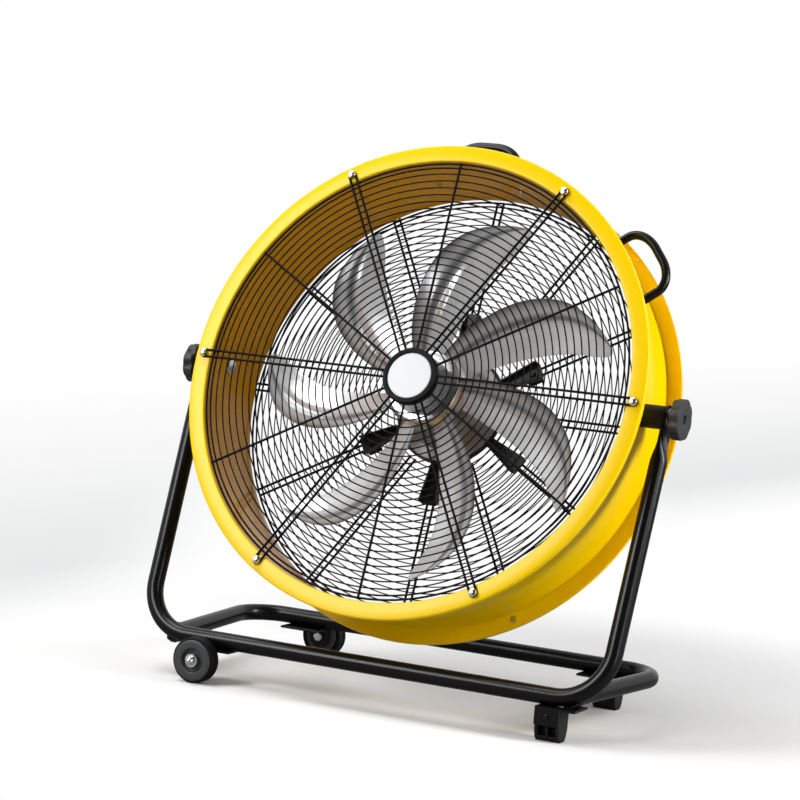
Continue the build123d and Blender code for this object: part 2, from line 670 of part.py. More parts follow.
hub_face_y = FACE_Y - WIRE - 3.0
ring_outline = [
    (HUB_CAP_R, hub_face_y),
    (HUB_RING_R, hub_face_y),
    (HUB_RING_R, hub_face_y + HUB_RING_T),
    (0, hub_face_y + HUB_RING_T),
    (0, hub_face_y + HUB_CAP_T),
    (HUB_CAP_R, hub_face_y + HUB_CAP_T),
]
add("guard_hub_ring", lathe(ring_outline, MOTOR_SIDES), in_drum)
add("guard_hub_cap", bar(HUB_CAP_R, hub_face_y, hub_face_y + HUB_CAP_T, MOTOR_SIDES), in_drum)


def guard_bolt(wire_y, toward):
    """Square-necked bolt with a round cap on the guard's loop and a hexagon nut behind the flange."""
    flange_back = wire_y + toward * (WIRE + SHEET)
    cap = bar(BOLT_CAP_R, *sorted((wire_y, wire_y - toward * BOLT_CAP_H)), SMALL_SIDES)
    nut = bar(NUT_R, *sorted((flange_back, flange_back + toward * NUT_H)), 6)
    return Pos(GUARD_BOLT_R, 0, 0) * (cap + nut) + square_bar(BOLT_SIDE, *sorted((wire_y, flange_back)))


bolts = [guard_bolt(FACE_Y - WIRE, 1), guard_bolt(BACK_Y + WIRE, -1)]
add("guard_bolts", [turned(angle) * bolt for angle in GUARD_ANGLES for bolt in bolts], in_drum)

# ---- Motor and its mount -----------------------------------------------------------------------------------

SPIDER_BACK_Y = SPIDER_Y + SPIDER_T
MOUNT_Y = SPIDER_Y - MOUNT_FLANGE_T
BODY_FRONT_Y = MOTOR_FRONT_Y + BELL_LENGTH
BODY_BACK_Y = MOTOR_BACK_Y - BELL_LENGTH
MOTOR_SCREW_ANGLES = [360 / MOTOR_SCREWS * (i + 0.5) for i in range(MOTOR_SCREWS)]


def tapered_arm(inset, root):
    """Outline of a spider arm, or of the channel left between its ribs."""
    half_root, half_tip = ARM_ROOT_W / 2 - inset, ARM_TIP_W / 2 - inset
    return make_face(Polyline((root, -half_root), (ARM_REACH, -half_tip), (ARM_REACH, half_tip), (root, half_root),
                              close=True))


def spider_arm():
    """Tapered arm with a rib folded along each edge."""
    root = SPIDER_R * 0.95
    arm = plate(tapered_arm(0, root), SPIDER_Y - ARM_RIB_H, ARM_RIB_H + SPIDER_T)
    arm -= plate(tapered_arm(SPIDER_T, root - 1), SPIDER_Y - ARM_RIB_H, ARM_RIB_H)
    return arm - Pos(CLAMP_AT_R, 0, 0) * bar(CLAMP_SCREW_R, SPIDER_Y, SPIDER_BACK_Y, 6)


spider = sleeve(MOTOR_R, SPIDER_R, SPIDER_Y, SPIDER_BACK_Y, MOTOR_SIDES)
for angle in HALFWAY_ANGLES:
    spider += turned(angle) * spider_arm()
for angle in MOTOR_SCREW_ANGLES:
    spider -= turned(angle) * Pos(MOTOR_SCREW_AT_R, 0, 0) * bar(MOTOR_SCREW_R, SPIDER_Y, SPIDER_BACK_Y, 6)
add("motor_mount_spider", spider, in_drum)


def rod_clamp():
    """Plate behind a pair of guard wires, and the screw that draws it up to the spider's arm."""
    y0, y1 = BACK_Y + WIRE, BACK_Y + WIRE + CLAMP_T
    clamp = block(-CLAMP_L / 2, CLAMP_L / 2, y0, y1, -CLAMP_W / 2, CLAMP_W / 2)
    clamp += bar(CLAMP_SCREW_R * 2, SPIDER_Y - 3, SPIDER_Y, 6) + bar(CLAMP_SCREW_R, SPIDER_Y, y0, 6)
    return Pos(CLAMP_AT_R, 0, 0) * clamp


def motor_screw():
    """Screw that holds the spider to the motor's mounting flange."""
    head = bar(MOTOR_SCREW_R * 1.8, SPIDER_BACK_Y, SPIDER_BACK_Y + 3, 6)
    return Pos(MOTOR_SCREW_AT_R, 0, 0) * (head + bar(MOTOR_SCREW_R, SPIDER_Y, SPIDER_BACK_Y, 6))


add("rod_clamps", [turned(angle) * rod_clamp() for angle in HALFWAY_ANGLES], in_drum)
add("motor_screws", [turned(angle) * motor_screw() for angle in MOTOR_SCREW_ANGLES], in_drum)

body_outline = [
    (STATOR_R, BODY_FRONT_Y),
    (MOTOR_R, BODY_FRONT_Y),
    (MOTOR_R, MOUNT_Y),
    (MOUNT_FLANGE_R, MOUNT_Y),
    (MOUNT_FLANGE_R, SPIDER_Y),
    (MOTOR_R, SPIDER_Y),
    (MOTOR_R, BODY_BACK_Y),
    (STATOR_R, BODY_BACK_Y),
]
add("motor_body", lathe(body_outline, MOTOR_SIDES), in_drum)

bell_outline = [
    (SHAFT_R + 1, MOTOR_FRONT_Y),
    (BELL_NOSE_R, MOTOR_FRONT_Y),
    (MOTOR_R, MOTOR_FRONT_Y + BELL_LENGTH / 2),
    (MOTOR_R, BODY_FRONT_Y),
    (BEARING_R, BODY_FRONT_Y),
    (BEARING_R, BODY_FRONT_Y - BEARING_W),
    (SHAFT_R + 1, BODY_FRONT_Y - BEARING_W),
]
front_bell = lathe(bell_outline, MOTOR_SIDES)
front_bearing = sleeve(SHAFT_R + SHAFT_FIT, BEARING_R, BODY_FRONT_Y - BEARING_W, BODY_FRONT_Y, MOTOR_SIDES)
motor_middle = Plane((0, CORE_Y, 0), z_dir=(0, 1, 0))
add("motor_front_bell", front_bell, in_drum)
add("motor_rear_bell", mirror(front_bell, motor_middle), in_drum)
add("motor_bearings", [front_bearing, mirror(front_bearing, motor_middle)], in_drum)
core_start, core_end = CORE_Y - CORE_LENGTH / 2, CORE_Y + CORE_LENGTH / 2
add("stator_core", sleeve(CORE_R + AIR_GAP, STATOR_R, core_start, core_end, MOTOR_SIDES), in_drum)

# ---- Switch box --------------------------------------------------------------------------------------------

LID_Y = MOTOR_BACK_Y + BOX_D
DIAL_X = BOX_W * 0.2
GLAND_X = -BOX_W / 4
GLAND_Y = MOTOR_BACK_Y + BOX_D / 2


def box_outline(inset):
    """The box's outline with cut corners."""
    half_w, half_h, corner = BOX_W / 2 - inset, BOX_H / 2 - inset, BOX_CORNER - inset
    quarter = [(half_w, half_h - corner), (half_w - corner, half_h)]
    top = quarter + [(-x, z) for x, z in reversed(quarter)]
    return make_face(Polyline(*top, *[(x, -z) for x, z in reversed(top)], close=True))


switch_box = plate(box_outline(0), MOTOR_BACK_Y, BOX_D)
switch_box -= plate(box_outline(BOX_WALL), MOTOR_BACK_Y + BOX_WALL, BOX_D)
gland_place = Pos(GLAND_X, GLAND_Y, -BOX_H / 2) * Rot(-90, 0, 0)
switch_box -= gland_place * bar(GLAND_R * 0.8, -BOX_WALL, 1, SMALL_SIDES)
add("switch_box", switch_box, in_drum)
lid = plate(box_outline(0), LID_Y, BOX_WALL)
lid -= Pos(DIAL_X, 0, 0) * bore_cut(DIAL_STEM_R + SHAFT_FIT, LID_Y, LID_Y + BOX_WALL)
add("switch_box_lid", lid, in_drum)

gland_outline = [
    (GLAND_R * 0.45, -BOX_WALL),
    (GLAND_R * 0.8, -BOX_WALL),
    (GLAND_R * 0.8, 0),
    (GLAND_R, 0),
    (GLAND_R, GLAND_L * 0.7),
    (GLAND_R * 0.7, GLAND_L),
    (GLAND_R * 0.45, GLAND_L),
]
add("cable_gland", gland_place * lathe(gland_outline, SMALL_SIDES), in_drum)

capacitor_place = Pos(-BOX_W / 2 + BOX_WALL + CAPACITOR_R + 2, MOTOR_BACK_Y + BOX_WALL + CAPACITOR_R, 0)
capacitor = Rot(90, 0, 0) * bar(CAPACITOR_R, -CAPACITOR_L / 2, CAPACITOR_L / 2, MIDDLE_SIDES)
add("run_capacitor", capacitor_place * capacitor, in_drum)

switch_y = LID_Y - SWITCH_DEPTH
half_switch = SWITCH_SIDE / 2
switch = block(DIAL_X - half_switch, DIAL_X + half_switch, switch_y, LID_Y, -half_switch, half_switch)
add("rotary_switch", switch - Pos(DIAL_X, 0, 0) * bore_cut(DIAL_STEM_R + SHAFT_FIT, LID_Y - 8, LID_Y), in_drum)

dial_y = LID_Y + BOX_WALL + SLIDE_GAP
dial = bar(DIAL_R, dial_y, dial_y + 2.5, MOTOR_SIDES)
dial += block(-DIAL_R * 0.9, DIAL_R * 0.9, dial_y, dial_y + DIAL_T, -DIAL_R * 0.22, DIAL_R * 0.22)
dial += bar(DIAL_STEM_R, LID_Y - 8 + SLIDE_GAP, dial_y)
add("speed_dial", Pos(DIAL_X, 0, 0) * dial, in_drum)

# ---- Rotor -------------------------------------------------------------------------------------------------

HUB_BACK_Y = MOTOR_FRONT_Y - HUB_TO_MOTOR
HUB_FRONT_Y = HUB_BACK_Y - HUB_DEPTH
HUB_MIDDLE_Y = HUB_BACK_Y - HUB_DEPTH / 2
WEB_Y = HUB_FRONT_Y + 6
hub_outline = [
    (SHAFT_R, WEB_Y),
    (HUB_BOSS_R, WEB_Y),
    (HUB_R * 0.75, HUB_FRONT_Y),
    (HUB_R, HUB_FRONT_Y + 6),
    (HUB_R, HUB_BACK_Y),
    (HUB_R - HUB_WALL, HUB_BACK_Y),
    (HUB_R - HUB_WALL, WEB_Y + 4),
    (HUB_BOSS_R, WEB_Y + 4),
    (HUB_BOSS_R, HUB_BACK_Y),
    (SHAFT_R, HUB_BACK_Y),
]
add("rotor_hub", lathe(hub_outline, MOTOR_SIDES), in_drum)
add("hub_nut", sleeve(SHAFT_R, HUB_NUT_R, WEB_Y - HUB_NUT_T, WEB_Y, 6), in_drum)
add("motor_shaft", bar(SHAFT_R, WEB_Y - HUB_NUT_T - 3, MOTOR_BACK_Y - 4, MOTOR_SIDES), in_drum)
add("rotor_core", sleeve(SHAFT_R, CORE_R, core_start, core_end, MIDDLE_SIDES), in_drum)


def blade_row(radius, sweep_angle, chord, pitch, crease, depth):
    """Points across the blade's front and back, from its leading edge to its trailing edge."""
    angle = radians(BLADE_PHASE + sweep_angle)
    outward = Vector(cos(angle), 0, sin(angle))
    around = Vector(-sin(angle), 0, cos(angle))
    rearward = Vector(0, 1, 0)
    across = around * cos(radians(pitch)) - rearward * sin(radians(pitch))
    bulge = around * sin(radians(pitch)) + rearward * cos(radians(pitch))
    middle = outward * radius * TIP_R + rearward * (HUB_MIDDLE_Y + depth * TIP_R)
    front, back = [], []
    for place, share in BLADE_CREST:
        point = middle + (across * (place * chord) + bulge * (share * crease)) * TIP_R
        edge = 0.3 if share == 0 else 1.0
        front.append(point - bulge * (edge * BLADE_T / 2))
        back.append(point + bulge * (edge * BLADE_T / 2))
    return front + back[::-1]


def blade():
    """Swept and creased blade, as flat triangles between its stations."""
    rows = [blade_row(*station) for station in BLADE_STATIONS]
    count = len(rows[0])
    faces = []
    for near, far in zip(rows, rows[1:]):
        for i in range(count):
            j = (i + 1) % count
            faces.append([near[i], near[j], far[j]])
            faces.append([near[i], far[j], far[i]])
    faces += [rows[0], rows[-1]]
    return flat_sided(faces)


hub_bar = bar(HUB_R, HUB_FRONT_Y - 20, HUB_BACK_Y + 20, MOTOR_SIDES)
for i in range(BLADES):
    add(f"fan_blade_{i + 1}", turned(360 / BLADES * i) * blade() - hub_bar, in_drum)

# ---- Origin and files --------------------------------------------------------------------------------------

whole = Compound(children=[solid for node in nodes.values() for solid in node.solids()])
box = whole.bounding_box()
centre_y = (box.min.Y + box.max.Y) / 2
os.makedirs("parts", exist_ok=True)
for name, node in nodes.items():
    export_step(Pos(0, -centre_y, 0) * node, f"parts/{name}.step")
print(f"{len(nodes)} nodes, size {box.size}, tilt axis at Y {PIVOT_Y - centre_y:.3f}, Z {PIVOT_Z:.3f}")
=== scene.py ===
"""Dresses the portable drum fan: a yellow sheet-steel drum with wire guards and a seven-bladed rotor, tilting
in a black bent-tube stand. Sizes are in millimetres and become metres where a piece is placed.
"""

from math import radians

import bmesh
import bpy
import numpy as np
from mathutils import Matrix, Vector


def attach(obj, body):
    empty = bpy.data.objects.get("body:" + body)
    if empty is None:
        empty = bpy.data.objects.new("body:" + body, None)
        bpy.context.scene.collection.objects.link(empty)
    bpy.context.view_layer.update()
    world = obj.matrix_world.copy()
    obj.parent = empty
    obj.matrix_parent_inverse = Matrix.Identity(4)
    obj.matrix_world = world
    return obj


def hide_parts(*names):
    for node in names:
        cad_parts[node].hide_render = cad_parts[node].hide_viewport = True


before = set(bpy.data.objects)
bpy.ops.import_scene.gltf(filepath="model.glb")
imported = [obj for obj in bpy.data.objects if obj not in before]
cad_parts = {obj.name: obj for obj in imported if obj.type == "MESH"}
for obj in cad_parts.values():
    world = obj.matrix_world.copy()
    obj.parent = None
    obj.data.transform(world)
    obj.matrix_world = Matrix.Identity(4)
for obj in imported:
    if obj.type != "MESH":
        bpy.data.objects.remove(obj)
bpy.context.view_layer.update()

# ---- Front stand tube ----
# One steel tube of 23 mm, bent into an upright U and coated gloss black with powder.
# Its two ends are pressed flat, rounded off and drilled for the pivot bolts.

TUBE_R = 11.5
RAIL_Z = 57.0
RAIL_HALF = 338.0
FRONT_RAIL_Y = -135.73
FRONT_BEND_R = 68.0
PIVOT = np.array([345.0, 124.0, 415.0])
TANG_HALF_W = 17.0
TANG_HALF_T = 1.8
TANG_LENGTH = 20.0
FLATTENING_LENGTH = 42.0
FLATTENING_STEPS = 15


def from_floor(points):
    """Metres in the object's frame, from millimetres measured from the front rail and the floor: the points
    are shifted in Y."""
    return (np.asarray(points, float) + (0, FRONT_RAIL_Y, 0)) * 0.001


def once_round(count):
    """Evenly spaced angles once round a circle."""
    return np.linspace(0, 2 * np.pi, count, endpoint=False)


def circle(radius, sides=24):
    """A round section: radius times (cos a, sin a)."""
    angle = once_round(sides)
    return radius * np.stack([np.cos(angle), np.sin(angle)], -1)


def lengths(vectors):
    """The length of each row, as a column."""
    return np.linalg.norm(vectors, axis=1, keepdims=True)


def eased(corners, radius, steps=4, closed=True):
    """Rounds the corners of a line. Each corner C turns into the arc from A to B, which lie on its two sides
    at radius times the tangent of half the turn, and no farther than 0.48 of the side: ((1-t)^2 A +
    2wt(1-t) C + t^2 B) divided by the sum of its three weights, where w is the cosine of half the turn."""
    corner = np.asarray(corners, float)
    before, after = np.roll(corner, 1, 0) - corner, np.roll(corner, -1, 0) - corner
    length_before, length_after = lengths(before), lengths(after)
    cosine = np.sum(before * after, 1, keepdims=True) / (length_before * length_after)
    cosine = np.clip(cosine, -1, 0.999)
    cut = np.reshape(radius, (-1, 1)) * np.sqrt((1 + cosine) / (1 - cosine))
    start = corner + before * np.minimum(cut / length_before, 0.48)
    end = corner + after * np.minimum(cut / length_after, 0.48)
    weight = np.sqrt((1 - cosine) / 2)[:, None]
    t = np.linspace(0, 1, steps + 1)[None, :, None]
    near, middle, far = (1 - t) ** 2, 2 * weight * t * (1 - t), t ** 2
    arc = (near * start[:, None] + middle * corner[:, None] + far * end[:, None]) / (near + middle + far)
    if not closed:
        return np.concatenate([corner[:1], *arc[1:-1], corner[-1:]])
    return arc.reshape(-1, corner.shape[1])


def sweep(path, section, normal):
    """Carries a section along a flat path: each ring is the path's point, plus the section's first coordinate
    along the plane's normal, plus its second along the cross product of direction and normal."""
    path, normal = np.asarray(path, float), np.asarray(normal, float)
    direction = np.gradient(path, axis=0)
    direction /= lengths(direction)
    side = np.cross(direction, normal)
    section = np.broadcast_to(section, (len(path), *np.shape(section)[-2:]))
    rings = path[:, None] + section[..., :1] * normal + section[..., 1:] * side[:, None]
    return rings, False, True


def grid_faces(rows, columns, closed_rows, closed_columns):
    """Each square of a grid, by the numbers of its corners, and its corners in the grid's own coordinates."""
    i, j = np.meshgrid(np.arange(rows - (not closed_rows)), np.arange(columns - (not closed_columns)),
                       indexing="ij")
    i, j = i.ravel(), j.ravel()
    around_i, around_j = np.stack([i, i, i + 1, i + 1], 1), np.stack([j, j + 1, j + 1, j], 1)
    faces = (around_i % rows) * columns + around_j % columns
    return faces, np.stack([around_j / columns, around_i / rows], -1)


def make_piece(name, grids, material, slot, body="stand", place=from_floor, replaces=None, crease=35):
    """Joins grids of points into one closed mesh, and merges points within two thousandths of a millimetre. A
    grid's rows, columns and coordinates come last, and any axis before them counts copies. One closed round
    its columns and open along its rows gets flat faces at its two ends. The piece stands for the CAD node
    that its name gives without the last word, unless replaces lists others."""
    if replaces is None:
        replaces = [name.rsplit("_", 1)[0]]
    points, faces, places, count = [], [], [], 0
    for grid, closed_rows, closed_columns in grids:
        rows, columns = grid.shape[-3:-1]
        squares, at_corners = grid_faces(rows, columns, closed_rows, closed_columns)
        for copy in place(grid).reshape(-1, rows * columns, 3):
            points.append(copy)
            faces.extend((squares + count).tolist())
            places.append(at_corners.reshape(-1, 2))
            if closed_columns and not closed_rows:
                ring = np.arange(columns)
                faces.extend([(ring[::-1] + count).tolist(), (ring + count + (rows - 1) * columns).tolist()])
                places.append(np.tile(circle(0.5, columns) + 0.5, (2, 1)))
            count += rows * columns
    mesh = bpy.data.meshes.new(name)
    mesh.from_pydata(np.concatenate(points).tolist(), [], faces)
    at_all = np.concatenate(places).astype(np.float32).ravel()
    mesh.uv_layers.new(name="UVMap").data.foreach_set("uv", at_all)
    work = bmesh.new()
    work.from_mesh(mesh)
    bmesh.ops.remove_doubles(work, verts=work.verts, dist=2e-6)
    bmesh.ops.recalc_face_normals(work, faces=work.faces)
    work.to_mesh(mesh)
    work.free()
    mesh.polygons.foreach_set("use_smooth", np.ones(len(mesh.polygons), bool))
    mesh.set_sharp_from_angle(angle=radians(crease))
    mesh.materials.append(material)
    piece = bpy.data.objects.new(name, mesh)
    bpy.context.scene.collection.objects.link(piece)
    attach(piece, body)
    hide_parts(*replaces)


def add_nodes(tree, *kinds):
    """New shader nodes of the given kinds."""
    return [tree.nodes.new(f"ShaderNode{kind}") for kind in kinds]


def set_inputs(node, values):
    """Gives a node's inputs their values."""
    for socket, value in values.items():
        node.inputs[socket].default_value = value


def connect(tree, *links):
    """Links nodes: each link gives a node, its output, and the node and the input that it feeds."""
    for source, output, target, socket in links:
        tree.links.new(source.outputs[output], target.inputs[socket])


def node_group(name, amounts, outputs):
    """An empty shader node group with a vector input, number inputs with their values, and number outputs."""
    group = bpy.data.node_groups.new(name, "ShaderNodeTree")
    new_socket = group.interface.new_socket
    new_socket("Vector", in_out="INPUT", socket_type="NodeSocketVector")
    for label, amount in amounts.items():
        new_socket(label, in_out="INPUT", socket_type="NodeSocketFloat").default_value = amount
    for label in outputs:
        new_socket(label, in_out="OUTPUT", socket_type="NodeSocketFloat")
    return group, group.nodes.new("NodeGroupInput"), group.nodes.new("NodeGroupOutput")


def grain_group():
    """Two noises: a broad one for drifts of colour and gloss, and a fine one for the surface's texture."""
    group, inward, outward = node_group("Surface grain", {"Broad scale": 9.0, "Fine scale": 900.0},
                                        ["Broad", "Fine"])
    for label, detail in (("Broad", 4.0), ("Fine", 2.0)):
        noise, = add_nodes(group, "TexNoise")
        set_inputs(noise, {"Detail": detail})
        connect(group, (inward, "Vector", noise, "Vector"), (inward, f"{label} scale", noise, "Scale"),
                (noise, "Fac", outward, label))
    return group


def wear_group():
    """Wear along edges: the mesh's pointiness above a level, broken up by noise, times an amount."""
    group, inward, outward = node_group("Edge wear", {"Amount": 0.3, "Level": 0.56}, ["Mask"])
    edge, noise, above, broken, product = add_nodes(
        group, "NewGeometry", "TexNoise", "Math", "MapRange", "Math")
    above.operation, product.operation = "GREATER_THAN", "MULTIPLY"
    set_inputs(noise, {"Scale": 70.0, "Detail": 5.0})
    set_inputs(broken, {"From Min": 0.5, "From Max": 0.72})
    connect(group, (inward, "Vector", noise, "Vector"), (edge, "Pointiness", above, 0),
            (inward, "Level", above, 1), (noise, "Fac", broken, "Value"),
            (inward, "Amount", broken, "To Max"), (above, 0, product, 0), (broken, "Result", product, 1),
            (product, 0, outward, "Mask"))
    return group


GRAIN, WEAR = grain_group(), wear_group()


def opaque(colour):
    """A colour with full opacity, from its red, green and blue, or from one number for a grey."""
    return (*np.broadcast_to(colour, 3).tolist(), 1)


def lay_over(material, source, output, colour):
    """Mixes a colour over what feeds a material's Base Color, by the amount that a node's output gives."""
    tree = material.node_tree
    shader = tree.nodes["Principled BSDF"]
    below = shader.inputs["Base Color"].links[0].from_socket
    mixed, = add_nodes(tree, "Mix")
    mixed.data_type = "RGBA"
    set_inputs(mixed, {"B": opaque(colour)})
    tree.links.new(below, mixed.inputs["A"])
    connect(tree, (source, output, mixed, "Factor"), (mixed, "Result", shader, "Base Color"))


def finish_of(name, colour, drift, rough, bump, metallic=0.0, broad=9.0, fine=900.0, stretch=(1, 1, 1),
              worn=None, wear=0.4, specular=0.5, uv=False):
    """A material: its colour drifts to a second one and its roughness from low to high with the broad noise,
    the fine noise raises a bump of the given height in metres, and its edges wear to a third colour."""
    material = bpy.data.materials.new(name)
    material.use_nodes = True
    tree = material.node_tree
    shader = tree.nodes["Principled BSDF"]
    place, spread, grain, tint, gloss, relief = add_nodes(
        tree, "TexCoord", "Mapping", "Group", "Mix", "MapRange", "Bump")
    grain.node_tree = GRAIN
    tint.data_type = "RGBA"
    set_inputs(shader, {"Metallic": metallic, "Specular IOR Level": specular})
    set_inputs(spread, {"Scale": stretch})
    set_inputs(grain, {"Broad scale": broad, "Fine scale": fine})
    set_inputs(tint, {"A": opaque(colour), "B": opaque(drift)})
    set_inputs(gloss, {"To Min": rough[0], "To Max": rough[1]})
    set_inputs(relief, {"Distance": bump})
    connect(tree, (place, "UV" if uv else "Object", spread, "Vector"), (spread, "Vector", grain, "Vector"),
            (grain, "Broad", tint, "Factor"), (tint, "Result", shader, "Base Color"),
            (grain, "Broad", gloss, "Value"), (gloss, "Result", shader, "Roughness"),
            (grain, "Fine", relief, "Height"), (relief, "Normal", shader, "Normal"))
    if worn is not None:
        edge, = add_nodes(tree, "Group")
        edge.node_tree = WEAR
        set_inputs(edge, {"Amount": wear})
        connect(tree, (place, "Object", edge, "Vector"))
        lay_over(material, edge, "Mask", worn)
    return material


tube_black = finish_of("gloss_black_powder_coat", 0.002, 0.004, (0.24, 0.3), 0.00003, fine=1100, worn=0.02,
                       specular=0.2)

foot_of_upright = np.array([RAIL_HALF, 0, RAIL_Z])
tang_dir = np.array([0, PIVOT[1], PIVOT[2] - RAIL_Z])
tang_dir /= np.linalg.norm(tang_dir)
tang_start = PIVOT - tang_dir * TANG_LENGTH
upright_dir = tang_start - foot_of_upright
upright_dir /= np.linalg.norm(upright_dir)
frame_normal = np.array([0, upright_dir[2], -upright_dir[1]]) / np.hypot(upright_dir[1], upright_dir[2])
round_end = tang_start - upright_dir * FLATTENING_LENGTH
across = np.array([-1, 1, 1])

flattening = np.linspace(0, 1, FLATTENING_STEPS + 1)[1:]
squeezing = round_end + flattening[:, None] * (tang_start - round_end)
beyond = np.concatenate([[4, 10, 16, 20],
                         TANG_LENGTH + TANG_HALF_W * np.sin(np.linspace(0.1, np.pi / 2, 12))])
right_end = np.concatenate([squeezing, tang_start + beyond[:, None] * tang_dir])
u_corners = [round_end * across, foot_of_upright * across, foot_of_upright, round_end]
u_line = eased(u_corners, FRONT_BEND_R, 16, closed=False)
front_path = np.concatenate([right_end[::-1] * across, u_line, right_end])

flatness = np.concatenate([flattening, np.ones(len(beyond))])
flatness = (flatness ** 2 * (3 - 2 * flatness))[:, None, None]
reach = np.clip((beyond - TANG_LENGTH) / TANG_HALF_W, 0, 1)
half_width = np.concatenate([np.full(FLATTENING_STEPS, TANG_HALF_W),
                             TANG_HALF_W * np.sqrt(np.maximum(1 - reach ** 2, 0))])
round_section = circle(TUBE_R, 40)
flat_width = half_width[:, None] * round_section[None, :, 0] / TUBE_R
flat_depth = np.clip(half_width[:, None] * round_section[None, :, 1] / TUBE_R, -TANG_HALF_T, TANG_HALF_T)
end_sections = (1 - flatness) * round_section + flatness * np.stack([flat_width, flat_depth], -1)
round_sections = np.tile(round_section, (len(u_line), 1, 1))
front_sections = np.concatenate([end_sections[::-1], round_sections, end_sections])
make_piece("stand_front_tube_shaped", [sweep(front_path, front_sections, frame_normal)], tube_black,
           "tube_black", crease=60)

# ---- Rear stand tube ----
# The same tube bent into a flat U, which closes the base behind the front tube.
# Its ends are coped to fit round the front tube and welded there, and the bead is coated over.

BASE_DEPTH = 264.0
RETURN_X = 320.0
JOINT_X = 292.0
REAR_BEND_R = 50.0
END_AT = 40.0
BEAD_R = 2.1
BEAD_RIPPLES = 15
RIPPLE_SHARE = 0.18
RAIL_POINTS, RUN_POINTS = 900, 161


def coped(ring, forward):
    """Moves each point of a tube's end along a line to where the line first comes nearer to the front tube's
    path than that tube's radius, or to the middle of the front tube where it passes by."""
    rail = front_path[np.abs(front_path[:, 0]) < RAIL_HALF + TUBE_R]
    closely = np.linspace(0, len(rail) - 1, RAIL_POINTS)
    dense = np.stack([np.interp(closely, np.arange(len(rail)), axis) for axis in rail.T], -1)
    run = np.linspace(0, END_AT, RUN_POINTS)
    lines = ring[:, None] + run[:, None] * forward
    meets = np.sqrt(((lines[:, :, None] - dense) ** 2).sum(-1)).min(-1) < TUBE_R
    return ring + np.where(meets.any(1), run[meets.argmax(1)], END_AT)[:, None] * forward


return_leg = np.array([RETURN_X - JOINT_X, BASE_DEPTH, 0]) / np.hypot(RETURN_X - JOINT_X, BASE_DEPTH)
left_joint, right_joint = np.array([-JOINT_X, 0, RAIL_Z]), np.array([JOINT_X, 0, RAIL_Z])
rear_corners = [left_joint + END_AT * return_leg * across, (-RETURN_X, BASE_DEPTH, RAIL_Z),
                (RETURN_X, BASE_DEPTH, RAIL_Z), right_joint + END_AT * return_leg]
rear_rings, _, _ = sweep(eased(rear_corners, REAR_BEND_R, 16, closed=False), round_section, (0, 0, 1))
left_ring, right_ring = coped(rear_rings[0], -return_leg * across), coped(rear_rings[-1], -return_leg)
rear_rings = np.concatenate([left_ring[None], rear_rings, right_ring[None]])


def bead(ring, count=120):
    """A weld bead along a closed ring: a round section whose radius swells and shrinks in ripples. The ring
    first gets more points, each between its two neighbours."""
    place = np.linspace(0, len(ring), count, endpoint=False)
    loop = np.concatenate([ring, ring[:1]])
    line = np.stack([np.interp(place, np.arange(len(loop)), axis) for axis in loop.T], -1)
    swell = BEAD_R * (1 + RIPPLE_SHARE * np.sin(BEAD_RIPPLES * once_round(count)))
    direction = np.roll(line, -1, 0) - np.roll(line, 1, 0)
    direction /= lengths(direction) + 1e-9
    outward = line - line.mean(0)
    outward -= np.sum(outward * direction, 1, keepdims=True) * direction
    outward /= lengths(outward)
    round_bead = circle(1, 8)
    section = round_bead[:, :1] * outward[:, None] + round_bead[:, 1:] * np.cross(direction, outward)[:, None]
    return line[:, None] + swell[:, None, None] * section, True, True


make_piece("stand_rear_tube_shaped", [(rear_rings, False, True), bead(left_ring), bead(right_ring)],
           tube_black, "tube_black", crease=60)

# ---- Brackets and rubber feet ----
# Brackets of 3 mm plate are welded under the rails: two with a tongue for a wheel, two with a folded flap.
# Behind each flap sits a moulded rubber foot with two cored windows.

ENDS = ("front", "rear")


def dress(node, material, bevel=0.4):
    """Gives a node of the model its finish. Its loose triangles are joined within a hundredth of a
    millimetre, and its edges eased where they turn by more than 28 degrees."""
    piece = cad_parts[node]
    piece.data.materials.clear()
    piece.data.materials.append(material)
    for slot in piece.material_slots:
        slot.material = material
    if bevel:
        join, ease = piece.modifiers.new("join", "WELD"), piece.modifiers.new("ease", "BEVEL")
        join.merge_threshold = 0.00001
        ease.width, ease.segments, ease.limit_method = bevel * 0.001, 2, "ANGLE"
        ease.angle_limit = radians(28)


rubber = finish_of("moulded_rubber", 0.006, 0.012, (0.45, 0.62), 0.0001, fine=700, worn=0.04, specular=0.2)
for end in ENDS:
    dress(f"wheel_bracket_{end}", tube_black)
    dress(f"foot_bracket_{end}", tube_black)
    dress(f"rubber_foot_{end}", rubber, 0.8)

# ---- Wheels ----
# Two wheels under the left end: a grey moulded rim with a recessed face and a rolled lip, and a black rubber
# tyre whose tread has a groove round its middle. The rear one is turned to face backwards.

WHEEL_R = 31.0
WHEEL_AT = {"front": (-240.0, 0.0, 1), "rear": (-214.0, BASE_DEPTH, -1)}
WHEEL_WIDTH = 22.0
WHEEL_FACE = -38.3


def behind(face, *profile):
    """A profile of radii and depths behind a face, as radii and places along the axis: the face is added."""
    return np.array(profile, float) + (0, face)


def turn(profile, sides=96):
    """Turns (radius, y) points about the Y axis: each becomes (r cos a, y, r sin a). A profile that starts
    and ends on the axis is open, and any other is closed."""
    angle = once_round(sides)[:, None]
    radius, y = np.asarray(profile, float).T
    points = np.stack([radius * np.cos(angle), y + 0 * angle, radius * np.sin(angle)], -1)
    return points, True, bool(radius[0] > 1e-6)


def moved(grid, offset, mirror=(1, 1, 1)):
    """A grid with its points mirrored and then moved."""
    return grid[0] * mirror + offset, grid[1], grid[2]


def at_wheel(grid, end):
    """A grid round a wheel's axle, placed at the front or rear wheel, which is turned half round."""
    x, y, facing = WHEEL_AT[end]
    return moved(grid, (x, y, WHEEL_R), (facing, facing, 1))


